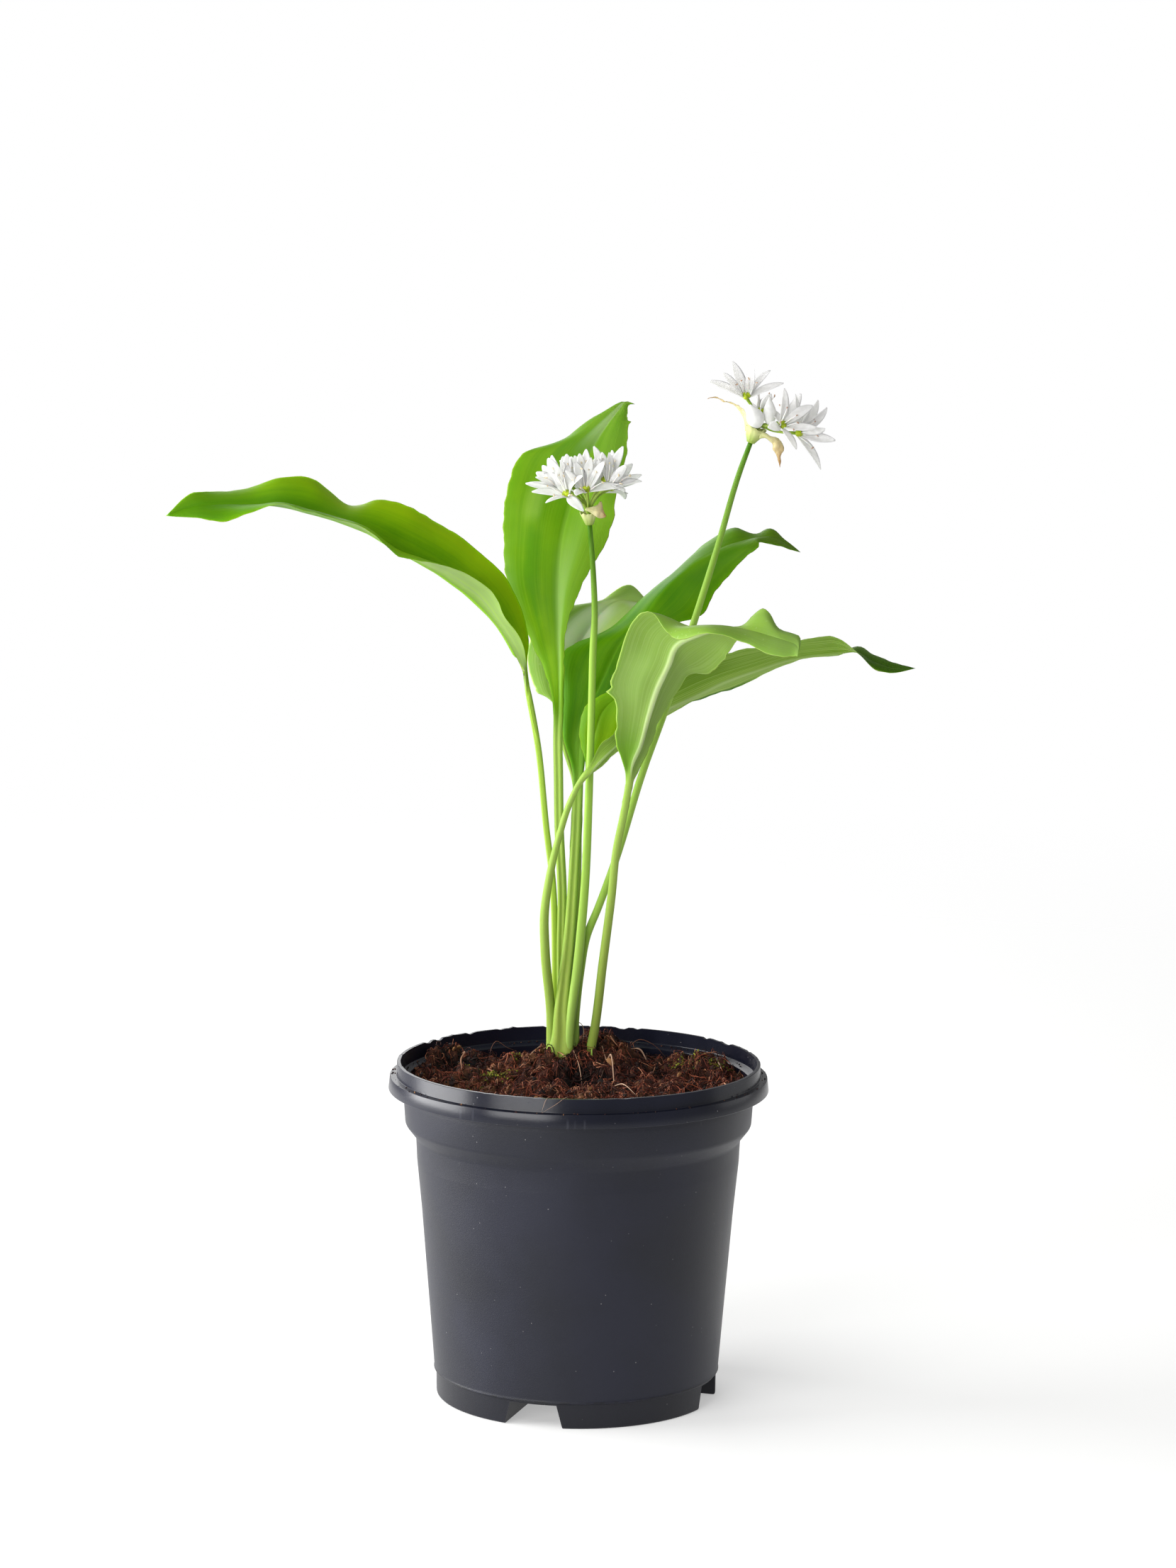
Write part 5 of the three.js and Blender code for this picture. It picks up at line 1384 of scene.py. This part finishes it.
# Flower heads. Each foot is where a pedicel ends, from the top of the stalk, and face is the way the flower
# opens. Tips are the ends of its tepals; where they aren't given, spread is how far the tepals lean out.
heads = [
    {
        "florets": [
            {"foot": (-7.4, -4.9, 9.4), "face": (-0.38, -0.6, 0.75), "tips": [
                (-19.4, -5.5, 10.7), (-14.6, -14, 7.7), (-2, -13.5, 5),
                (-2.3, -13, 16.7), (-7.5, 0, 19.2), (-12.2, -1, 17.8),
            ]},
            {"foot": (-1.2, -6.4, 10.9), "face": (0.05, -0.65, 0.8), "tips": [
                (-4.5, -17, 10.5), (11.6, -7, 12.8), (4.9, -8, 21.4),
                (0.3, -3, 22.2), (-5, -4, 20.8), (-8.2, -10, 18.1),
            ]},
            {"foot": (6.5, -3.6, 12.5), "face": (0.5, -0.45, 0.75), "tips": [
                (17.4, -5, 14.4), (17.4, -2, 16.5), (12.2, -11, 20.4),
                (6.4, -2, 23.9), (2.5, -5, 22.4), (11.4, -12, 11.4),
            ]},
            {"foot": (5, 0, 13.6), "face": (0.2, -0.6, 0.8), "tips": [
                (11.05, -1, 25.9), (1.2, 1, 25.7), (7.6, 4, 22.5),
                (3.9, -3, 24.0), (12.5, 7, 16.2), (-1, 8, 18.0),
            ]},
            {"foot": (-1.3, 1, 13), "face": (-0.05, -0.5, 0.85), "tips": [
                (-1.3, 0, 24.8), (-3.6, -1.5, 23.4), (-5.3, 3, 22.3),
                (2.2, 5, 20.5), (-5.5, 8, 17.0), (3.6, -3, 21.6),
            ]},
            {"foot": (-6.2, 1.5, 11.8), "face": (-0.15, -0.45, 0.85), "tips": [
                (-7.9, 0, 23.1), (-9.1, 4, 22.0), (-6.6, -4, 22.3),
                (-3.5, 5, 20.0), (-9, 9, 15.9), (-10.2, -3, 21.1),
            ]},
            {"foot": (-8.6, -0.8, 11.2), "face": (-0.5, -0.4, 0.75), "tips": [
                (-14.1, -2, 21.8), (-12.9, 3, 22.4), (-16, 4, 18.9),
                (-18.2, -3, 15.4), (-20, -6, 14.0), (-10.8, -8, 18.8),
            ]},
            {"foot": (-8.5, 3, 10.8), "face": (-0.6, 0.5, 0.6), "tips": [
                (-18, 1, 16.8), (-21.6, 2, 12.9), (-13, 12, 12.4),
                (-8, 14, 10.1), (-6, 10, 16.7), (-13.5, 7, 18.2),
            ]},
            {"foot": (3.6, 5.6, 10), "face": (0.35, 0.75, 0.7), "spread": 50, "turn": 35},
            {"foot": (-2.2, 6.4, 10), "face": (-0.1, 0.75, 0.7), "spread": 48, "turn": 10},
            {"foot": (6.6, 3.8, 11), "face": (0.4, 0.85, 0.6), "spread": 44, "turn": 0},
        ],
        "buds": [],
        "bracts": [
            {
                "foot": (-2.6, -2.6, 4.7),
                "blade": [
                    [(-1.6, -3, 4.6), (-1.3, -3.2, 5), (-1, -3, 5.4)],
                    [(0.4, -3.5, 3.6), (0.6, -3.7, 4.6), (0.9, -3.2, 5.7)],
                    [(2.2, -3.6, 2.4), (2.2, -4, 4.2), (2.7, -2.8, 6.4)],
                    [(3.6, -3.2, 1.8), (3.6, -3.6, 4.1), (3.9, -2, 7.5)],
                    [(4.9, -2.8, 1.9), (4.5, -3.2, 3.4), (4.4, -2.2, 5)],
                ],
                "tip": (5.7, -2.6, 2.5),
            },
        ],
        "cup": {"radius": 2.9, "height": 3.9, "drop": 0.5},
        "seed": 4,
    },
    {
        "florets": [
            {"foot": (-1.8, -2.8, 14.4), "face": (-0.15, -0.6, 0.8), "tips": [
                (-14.8, -3, 20.2), (-10.1, -8, 23.2), (-6.7, -1, 26.7),
                (0.2, -6, 25.9), (6.1, -1, 23.8), (10.5, -4, 19.7),
            ]},
            {"foot": (9.7, -4.2, 5.4), "face": (0.5, -0.6, 0.45), "tips": [
                (10.8, -3, 17.9), (20.4, -3, 12.2), (21.6, -9, 5.2),
                (14.7, -11, -1.9), (5, -14, 5.5), (4.2, 3, 11.7),
            ]},
            {"foot": (15, -1, 2.8), "face": (0.75, -0.6, 0.15), "tips": [
                (28.2, -2, 0.6), (23.4, -2, -9.2), (25.3, 0, 11.5),
                (22.5, 4, 13.7), (24.3, -8, 5.0), (14.7, 3, 15.9),
            ]},
            {"foot": (3.2, 2.4, 9), "face": (0.2, 0.2, 0.9), "tips": [
                (6.6, 1, 15.8), (2, 5, 16), (5.4, 6, 14.4),
                (-0.6, 6, 13), (7.2, 5, 11.4), (3, 10, 8),
            ]},
            {"foot": (10.8, 4.8, 6), "face": (0.65, 0.7, 0.35), "spread": 50, "turn": 10},
        ],
        "buds": [
            {"foot": (2.5, -2.6, 4.8), "face": (-0.42, -0.2, 1), "width": 5.9, "length": 8.4},
            {"foot": (6.1, -1.5, 5.4), "face": (-0.02, -0.1, 1), "width": 4.3, "length": 9.6},
        ],
        "bracts": [
            {
                "foot": (0, 0, 1),
                "blade": [
                    [(0.6, -3.2, 3), (-2, 0, 3.4), (-0.9, 2.4, 3.4)],
                    [(-0.8, -2.8, 6.4), (-2.3, 0, 6.4), (-1.6, 2, 6.8)],
                    [(-2.2, -2.2, 9.8), (-3.6, 0.2, 9.4), (-3, 1.8, 9.6)],
                    [(-4.4, -1.4, 12), (-5.2, 0.2, 11.7), (-4.9, 1.4, 12)],
                    [(-8.6, -0.6, 13.4), (-8.8, 0.2, 13), (-8.8, 1, 13.2)],
                    [(-12.8, -0.3, 14.7), (-12.8, 0.3, 14.4), (-12.8, 0.8, 14.5)],
                ],
                "tip": (-15, 0.3, 13.9),
            },
            {
                "foot": (1.5, -1.5, 2),
                "blade": [
                    [(2.2, -2.6, 4), (2.9, -2.9, 2.6), (2.6, -2.4, 0.9)],
                    [(4.6, -2.6, 3), (4.9, -3, 2), (4.6, -2.4, 1.2)],
                    [(6.7, -2.2, 1.8), (6.4, -2.6, 1), (6, -2, 0.3)],
                    [(9.2, -1.2, 1.2), (8, -2.4, -0.3), (7.1, -1.6, -1)],
                    [(10.9, -0.6, -2), (9, -1.8, -2.4), (7.4, -1.2, -2.8)],
                    [(10.2, -0.6, -4.6), (9.4, -1.2, -4.8), (8.6, -0.8, -4.6)],
                ],
                "tip": (9.8, -0.8, -8.8),
            },
        ],
        "cup": {"radius": 3.5, "height": 5, "drop": 0.5},
        "seed": 9,
    },
]

flower = {
    "tepals": 6,
    "length": 12.6,
    "lengths": (0.9, 0.17),  # least share of the length, and what chance adds
    "width": 4,
    "widths": (0.86, 0.2),
    "outline": (0.36, 0.54, 0.74, 0.89, 0.98, 1, 0.97, 0.88, 0.73, 0.5, 0.14),  # of the width, foot to tip
    "thickness": 0.16,
    "start": (0.15, 0.55),  # where a tepal starts: up and out from the foot
    "knee": 0.42,  # share of the way to the tip at which a tepal bends
    "bow": 0.14,  # of its length, by which it curves outwards
    "bows": (0.4, 1.2),
    "sway": 1.8,
    "troughs": (0.12, 0.12),
    "uneven": 9,  # degrees by which tepals differ
    "twist": 36,
    "rows": 14,
    "columns": 6,
    "ovary": 1.4,
    "ovarySides": (30, 14),
    "style": 4.4,
    "styleRadii": (0.2, 0.13, 0.1),
    "filament": 6.6,
    "filaments": (0.85, 0.3),  # least share of the length, and what chance adds
    "filamentStart": (0.5, 0.95),
    "filamentRadii": (0.36, 0.26, 0.18, 0.1),
    "threadSides": 6,
    "anther": 0.62,
    "antherShape": (1, 0.42, 0.36),
    "antherSides": (10, 6),
    "pedicelRadii": (0.5, 0.5, 0.42, 0.62),
    "pedicelBend": (0.36, 0.36, 0.62),  # share of the way from the cup to the flower at which it bends
    "pedicelInto": 0.4,
    "pedicelSides": 10,
    "knob": 1.15,
    "knobSides": (16, 8),
}
budMake = {
    "outline": (0.14, 0.3, 0.41, 0.48, 0.51, 0.51, 0.48, 0.43, 0.35, 0.25, 0.15, 0.05),
    "sides": 36,
    "steps": 20,
    "laps": 3,  # tepals that show, each lying over the next
    "spiral": 0.25,
}
spathe = {
    "wall": 0.22,
    "gap": 0.15,  # between the stalk and the cup
    "sides": 48,
    "frill": 1.1,
    "columns": 14,
    "step": 0.5,
    "half": 0.09,  # half of a bract's thickness
    "crumple": 0.45,
    "crease": 0.2,
}
scapeMake = {"sides": 18, "steps": 7, "edges": 3, "edgeDepth": 0.035}
shoot = {
    "x": 3.9,
    "y": 17.5,
    "height": 16,
    "radii": (0.6, 0.62, 0.62, 0.6, 0.5, 0.05),
    "rings": 10,
    "sides": 12,
}


def topAxis(scape):
    return (Vector(scape["points"][-1]) - Vector(scape["points"][-2])).normalized()


# Turns a shape built along +Z to face a way, with its foot at a point
def placed(foot, face, spin=0.0):
    turn = Vector((0, 0, 1)).rotation_difference(Vector(face))
    return Matrix.Translation(foot) @ (turn @ Quaternion((0, 0, 1), spin)).to_matrix().to_4x4()


# A share from a pair of the least share and what chance adds
def chance(pair, draw):
    return pair[0] + pair[1] * draw.random()


# The ends of a flower's six tepals
def tepalTips(floret, draw):
    if "tips" in floret:
        return [Vector(tip) for tip in floret["tips"]]
    place = placed(floret["foot"], floret["face"], math.radians(floret["turn"]))
    tips = []
    for k in range(flower["tepals"]):
        turn = fullTurn / flower["tepals"] * (k + 0.16 * (draw.random() - 0.5))
        lean = math.radians(floret["spread"] + (draw.random() - 0.5) * 2 * flower["uneven"])
        away = Vector((math.sin(lean) * math.cos(turn), math.sin(lean) * math.sin(turn), math.cos(lean)))
        tips.append(place @ (away * flower["length"] * chance(flower["lengths"], draw)))
    return tips


# The way out from a flower's axis towards a point
def outFrom(face, reach):
    return (reach - face * reach.dot(face)).normalized()


# One tepal: a thin blade that rises from the foot and curves out to its tip, with a shallow trough
def tepalRings(foot, face, tip, draw):
    reach = tip - foot
    out = outFrom(face, reach)
    level = face.cross(out)
    rise, away = flower["start"]
    start = foot + face * rise + out * away
    bow = reach.length * flower["bow"] * chance(flower["bows"], draw)
    knee = start.lerp(tip, flower["knee"]) + face * bow
    knee += level * ((draw.random() - 0.5) * flower["sway"])
    twist = math.radians((draw.random() - 0.5) * flower["twist"])
    lift = chance(flower["troughs"], draw)
    broad = flower["width"] * chance(flower["widths"], draw)
    rings, places = [], []
    for i in range(flower["rows"] + 1):
        share = i / flower["rows"]
        point = start * (1 - share) ** 2 + knee * (2 * share * (1 - share)) + tip * share * share
        ahead = ((knee - start) * (1 - share) + (tip - knee) * share).normalized()
        side = Quaternion(ahead, twist * (share - 0.3)) @ (level - ahead * level.dot(ahead)).normalized()
        up = ahead.cross(side)
        half = broad / 2 * along(flower["outline"], share)
        thick = flower["thickness"] / 2 * (1.3 - 0.7 * share)
        upper, lower = [], []
        for k in range(flower["columns"] + 1):
            v = 2 * k / flower["columns"] - 1
            middle = point + side * (v * half) + up * (lift * half * (v * v - 0.3 * math.exp(-9 * v * v)))
            thin = thick * (0 if abs(v) == 1 else 1)
            upper.append(middle + up * thin)
            lower.append(middle - up * thin)
        rings.append(ringOf(upper, lower))
        places.append([share] * len(rings[-1]))
    return rings, places


def makeTepals(name, base, head, finish, node):
    draw = random.Random(head["seed"])
    bm = newBody("share")
    for floret in head["florets"]:
        foot, face = base + Vector(floret["foot"]), Vector(floret["face"]).normalized()
        for tip in tepalTips(floret, draw):
            rings, places = tepalRings(foot, face, base + tip, draw)
            wind(bm, rings, {"share": places})
    makePiece(name, bm, finish, [node])


# Buds are tepals wrapped round each other, drawn to a soft point
def makeBuds(name, base, head, finish):
    bm = newBody("share")
    sides, steps = budMake["sides"], budMake["steps"]
    for bud in head["buds"]:
        place = placed(base + Vector(bud["foot"]), bud["face"], 0.4)
        rings, places = [], []
        for i in range(steps + 1):
            share = i / steps
            ring = []
            for k in range(sides):
                turn = fullTurn * k / sides
                wrap = (turn * budMake["laps"] / fullTurn + budMake["spiral"] * share) % 1
                lap = 0.97 + 0.07 * wrap - 0.08 * smooth(0.86, 1, wrap) - 0.03 * bell((wrap - 0.45) / 0.08)
                radius = bud["width"] * along(budMake["outline"], share) * lap
                spot = Vector((radius * math.cos(turn), radius * math.sin(turn), bud["length"] * share))
                ring.append(place @ spot)
            rings.append(ring)
            places.append([0.1 + share] * sides)
        wind(bm, rings, {"share": places})
    makePiece(name, bm, finish)


# The ovary has three round lobes, with the style between them
def makeOvaries(name, base, head, finish):
    bm = bmesh.new()
    size, (around, high) = flower["ovary"], flower["ovarySides"]
    for floret in head["florets"]:
        place = placed(base + Vector(floret["foot"]), floret["face"], floret["foot"][0])
        made = bmesh.ops.create_uvsphere(bm, u_segments=around, v_segments=high, radius=size)["verts"]
        for vert in made:
            turn = math.atan2(vert.co.y, vert.co.x)
            away = math.hypot(vert.co.x, vert.co.y) / size
            lobe = 0.62 + 0.5 * abs(math.cos(1.5 * turn)) ** 0.7 * away
            rise = vert.co.z * (0.95 - 0.2 * bell(away / 0.3)) + 1.2
            vert.co = (place @ Vector((vert.co.x * lobe, vert.co.y * lobe, rise))) * mm
    makePiece(name, bm, finish)


# A style in the middle, and six stamens that lean out less than the tepals
def makeStamens(name, base, head, filamentFinish, antherFinish):
    draw = random.Random(head["seed"] + 1)
    threads, knobs = bmesh.new(), bmesh.new()
    sides, (around, high) = flower["threadSides"], flower["antherSides"]
    up, away = flower["filamentStart"]
    for floret in head["florets"]:
        foot, face = base + Vector(floret["foot"]), Vector(floret["face"]).normalized()
        place = placed(foot, face)
        style = [place @ Vector((0.12 * k, 0.05 * k * k, 1.6 + flower["style"] * k / 4)) for k in range(5)]
        wind(threads, stemRings(style, flower["styleRadii"], sides))
        for tip in tepalTips(floret, draw):
            reach = (base + tip - foot).normalized()
            lean = reach.lerp(face, 0.3 + 0.3 * draw.random()).normalized()
            long = flower["filament"] * chance(flower["filaments"], draw)
            start = foot + face * up + outFrom(face, reach) * away
            way = []
            for step in range(6):
                share = step / 5
                way.append(start + lean * (long * share) + face * (share * (1 - share) * 1.4))
            wind(threads, stemRings(way, flower["filamentRadii"], sides))
            spin = Quaternion([draw.random() - 0.5 for _ in range(4)]).normalized()
            size = Vector(flower["antherShape"]) * flower["anther"] * mm
            shape = Matrix.LocRotScale(way[-1] * mm, spin, size)
            bmesh.ops.create_uvsphere(knobs, u_segments=around, v_segments=high, radius=1, matrix=shape)
    makePiece(name + "Filaments", threads, filamentFinish)
    makePiece(name + "Anthers", knobs, antherFinish)


# Pedicels start on a knob at the top of the stalk, rise inside the cup and bend out to their flowers
def makePedicels(name, scape, head, finish):
    base, axis = Vector(scape["points"][-1]), topAxis(scape)
    bm = bmesh.new()
    shape = placed(base * mm + axis * mm, axis) @ Matrix.Diagonal((1, 1, 0.8, 1))
    around, high = flower["knobSides"]
    radius = flower["knob"] * mm
    bmesh.ops.create_uvsphere(bm, u_segments=around, v_segments=high, radius=radius, matrix=shape)
    for end in head["florets"] + head["buds"]:
        foot, into = base + Vector(end["foot"]), Vector(end["face"]).normalized() * flower["pedicelInto"]
        bend = base + axis * head["cup"]["height"] + (foot - base) * 0.08
        reach = foot - bend
        middle = bend + Vector(way * share for way, share in zip(reach, flower["pedicelBend"]))
        way = wayThrough([base + axis, bend, middle, foot + into], 5)
        wind(bm, stemRings(way, flower["pedicelRadii"], flower["pedicelSides"]))
    makePiece(name, bm, finish)


# The spathe: a thin cup round the foot of the pedicels that runs out into papery bracts
def makeSpathe(name, scape, head, finish, node):
    base, axis = Vector(scape["points"][-1]), topAxis(scape)
    bm = newBody("share", "across")
    place = placed(base, axis)
    radius, height, drop = [head["cup"][key] for key in ("radius", "height", "drop")]
    foot, wall, sides = scape["radii"][-1] + spathe["gap"], spathe["wall"], spathe["sides"]
    profile = [
        (foot, -drop), (foot + 0.45, -drop), (foot + 0.65, 0), (radius * 0.7, 0.3 * height),
        (radius * 0.88, 0.68 * height), (radius, height), (radius - wall, height),
        (radius * 0.88 - wall, 0.68 * height), (radius * 0.7 - wall, 0.34 * height), (foot, 0.2),
    ]
    rings, shares, places = [], [], []
    for r, z in profile + profile[:1]:
        ring = []
        for k in range(sides):
            turn = fullTurn * k / sides
            spot = Vector((math.cos(turn) * 2, math.sin(turn) * 2, head["seed"]))
            frill = spathe["frill"] * smooth(0.4 * height, height, z) * noise.noise(spot)
            flare = 0.12 * smooth(0.3, height, z) * noise.noise(spot * 1.3)
            reach = r * (1 + 0.02 * math.cos(9 * turn) + flare)
            ring.append(place @ Vector((reach * math.cos(turn), reach * math.sin(turn), z + frill)))
        rings.append(ring)
        shares.append([0.25 * smooth(-1, height, z)] * sides)
        places.append([math.sin(fullTurn * k / sides) for k in range(sides)])
    wind(bm, rings, {"share": shares, "across": places})
    for bract in head["bracts"]:
        addBract(bm, base, bract, head["seed"])
    makePiece(name, bm, finish, [node])


# A bract: a crumpled thin blade that closes to its tip
def addBract(bm, base, bract, seed):
    columns = spathe["columns"]
    before = [Vector(bract["foot"])] + [Vector(row[1]) for row in bract["blade"][:-1]]
    rows = [bladeRow(row, last, columns) for row, last in zip(bract["blade"], before)]
    rows.append([Vector((*bract["tip"], point.w)) for point in rows[-1]])
    grid, seats = smoothRows(rows, lambda gap: max(4, round(gap / spathe["step"])))
    points = [[point.to_3d() for point in row] for row in grid]
    ups = gridNormals(points)
    ups[-1] = [Vector((0, 0, 0))] * (columns + 1)
    rings, shares, places = [], [], []
    for i, row in enumerate(points):
        share = seats[i] / (len(rows) - 1)
        upper, lower = [], []
        for j, point in enumerate(row):
            spot, up = base + point, ups[i][j]
            crumple = spathe["crumple"] * noise.noise(spot * 0.55 + Vector((seed, 0, 0)))
            crumple += spathe["crease"] * noise.noise(spot * 1.4)
            spot += up * crumple * smooth(0, 0.3, share) * smooth(1, 0.9, share)
            thin = 0 if j in (0, columns) else spathe["half"]
            upper.append(spot + up * thin)
            lower.append(spot - up * thin)
        rings.append(ringOf(upper, lower))
        shares.append([0.25 + 0.75 * share] * (2 * columns))
        across = [point.w for point in grid[i]]
        places.append(ringOf(across, across))
    wind(bm, rings, {"share": shares, "across": places})


def makeScape(name, scape, finish, node):
    bm = newBody("share")
    way = wayThrough(scape["points"], scapeMake["steps"])
    edges = {"lobes": scapeMake["edges"], "depth": scapeMake["edgeDepth"]}
    rings = stemRings(way, scape["radii"], scapeMake["sides"], **edges)
    shares = [[i / (len(rings) - 1)] * len(rings[0]) for i in range(len(rings))]
    wind(bm, rings, {"share": shares})
    makePiece(name, bm, finish, [node])


# The tip of a new shoot, leaning a little to the right
def makeShoot(finish):
    bm = newBody("share")
    rings, sides = shoot["rings"], shoot["sides"]
    way = []
    for k in range(rings):
        rise = shoot["height"] * k / (rings - 1)
        way.append(Vector((shoot["x"] + 0.15 * k * k / 20, shoot["y"], stemFoot + rise)))
    shares = [[0.15 + 0.02 * i] * sides for i in range(rings)]
    wind(bm, stemRings(way, shoot["radii"], sides), {"share": shares})
    makePiece("newShoot", bm, finish, ["new_shoot"])


# White tepals, greener at the foot; a faint white glow is painted light that lifts their shaded parts
def tepalFinish(name, dull, bright):
    made = Finish(name, {
        "Specular IOR Level": 0.15, "Subsurface Weight": 0.7, "Subsurface Scale": 0.8 * mm,
        "Subsurface Radius": (1.0, 1.0, 0.95), "Emission Color": white, "Emission Strength": 0.03,
    })
    share, place = made.mark("share"), made.place()
    colour = made.mix(made.step(made.cloud(place, 500, 2), 0.35, 0.7), dull, bright)
    colour = made.mix(made.step(share, 0.22, 0.0) * 0.4, colour, tint(204, 212, 166))
    grain = made.cloud(place, 1800, 2)
    normal = made.bump(grain, 0.06 * mm, 0.35)
    return made.finish(colour=colour, roughness=0.42 + grain * 0.12, normal=normal)


# Light green to dark green up the stalk, with fine streaks
def stemFinish(name, foot, middle, top):
    made = Finish(name, {
        "Specular IOR Level": 0.12, "Subsurface Weight": 0.25, "Subsurface Scale": 0.7 * mm,
        "Subsurface Radius": (0.7, 1.0, 0.2),
    })
    share, place = made.mark("share"), made.place()
    x, y, z = made.parts(place)
    streak = made.cloud(made.vector(x * 900, y * 900, z * 28), 1, 3)
    colour = made.ramp(share, [(0.02, foot), (0.35, middle), (0.75, middle), (0.98, top)])
    colour = made.mix(made.step(streak, 0.4, 0.75) * 0.12, colour, foot)
    normal = made.bump(streak, 0.12 * mm, 0.5)
    return made.finish(colour=colour, roughness=0.4 + streak * 0.12, normal=normal)


def plainFinish(name, dark, light, rough, scale):
    made = Finish(name, {
        "Specular IOR Level": 0.35, "Subsurface Weight": 0.15, "Subsurface Scale": 0.4 * mm,
    })
    patches = made.cloud(made.place(), scale, 2)
    colour = made.mix(made.step(patches, 0.35, 0.65), dark, light)
    normal = made.bump(patches, 0.08 * mm, 0.5)
    return made.finish(colour=colour, roughness=rough + patches * 0.1, normal=normal)


# Green and fresh at the cup, cream further out and brown at the dry tips, with fine veins
def spatheFinish():
    made = Finish("spathePaper", {
        "Specular IOR Level": 0.3, "Subsurface Weight": 0.3, "Subsurface Scale": 0.4 * mm,
        "Subsurface Radius": (1.0, 0.9, 0.6),
    })
    share, across, place = made.mark("share"), made.mark("across"), made.place()
    colour = made.ramp(share, [
        (0, tint(142, 168, 66)), (0.2, tint(194, 202, 136)), (0.5, tint(214, 206, 158)),
        (0.8, tint(208, 186, 140)), (1, tint(160, 108, 52)),
    ])
    veins = made.cloud(made.vector(across * 16, share * 1.5), 1, 2)
    colour = made.mix(made.step(veins, 0.5, 0.68) * 0.4, colour, tint(170, 168, 96))
    patches = made.cloud(place, 420, 3)
    colour = made.mix(made.step(patches, 0.58, 0.75) * 0.3, colour, tint(186, 160, 104))
    normal = made.bump(veins, 0.15 * mm, 0.6)
    return made.finish(colour=colour, roughness=0.55 + patches * 0.15, normal=normal)


scapeGreen = stemFinish("scapeGreen", tint(168, 198, 104), tint(150, 188, 76), tint(66, 118, 4))
pedicelGreen = plainFinish("pedicelGreen", tint(126, 160, 34), tint(166, 192, 84), 0.45, 300)
ovaryGreen = plainFinish("ovaryGreen", tint(136, 156, 4), tint(182, 202, 30), 0.35, 700)
filamentWhite = plainFinish("filamentWhite", tint(226, 226, 216), tint(244, 244, 240), 0.45, 500)
antherCream = plainFinish("antherCream", tint(206, 190, 150), tint(236, 226, 200), 0.7, 900)
antherTan = plainFinish("antherTan", tint(166, 128, 108), tint(206, 182, 160), 0.7, 900)
tepalWhite = tepalFinish("tepalWhite", tint(218, 218, 215), tint(228, 228, 226))
# The second head's tepals are the same white as the first's, darkened by painted shade
tepalShadedWhite = tepalFinish("tepalShadedWhite", tint(206, 205, 203), tint(217, 216, 215))
spathePaper = spatheFinish()
looks = [(tepalWhite, antherCream), (tepalShadedWhite, antherTan)]  # of the tepals and the anthers of each head
for i, (scape, head, (tepalLook, antherLook)) in enumerate(zip(scapes, heads, looks), 1):
    base = Vector(scape["points"][-1])
    makeScape(f"scape{i}", scape, scapeGreen, f"scape_{i}")
    makeTepals(f"tepals{i}", base, head, tepalLook, f"flower_head_{i}")
    if head["buds"]:
        makeBuds(f"buds{i}", base, head, tepalWhite)
    makeOvaries(f"ovaries{i}", base, head, ovaryGreen)
    makeStamens(f"stamens{i}", base, head, filamentWhite, antherLook)
    makePedicels(f"pedicels{i}", scape, head, pedicelGreen)
    makeSpathe(f"spathe{i}", scape, head, spathePaper, f"spathe_{i}")
    print("flower head made:", i)
makeShoot(scapeGreen)
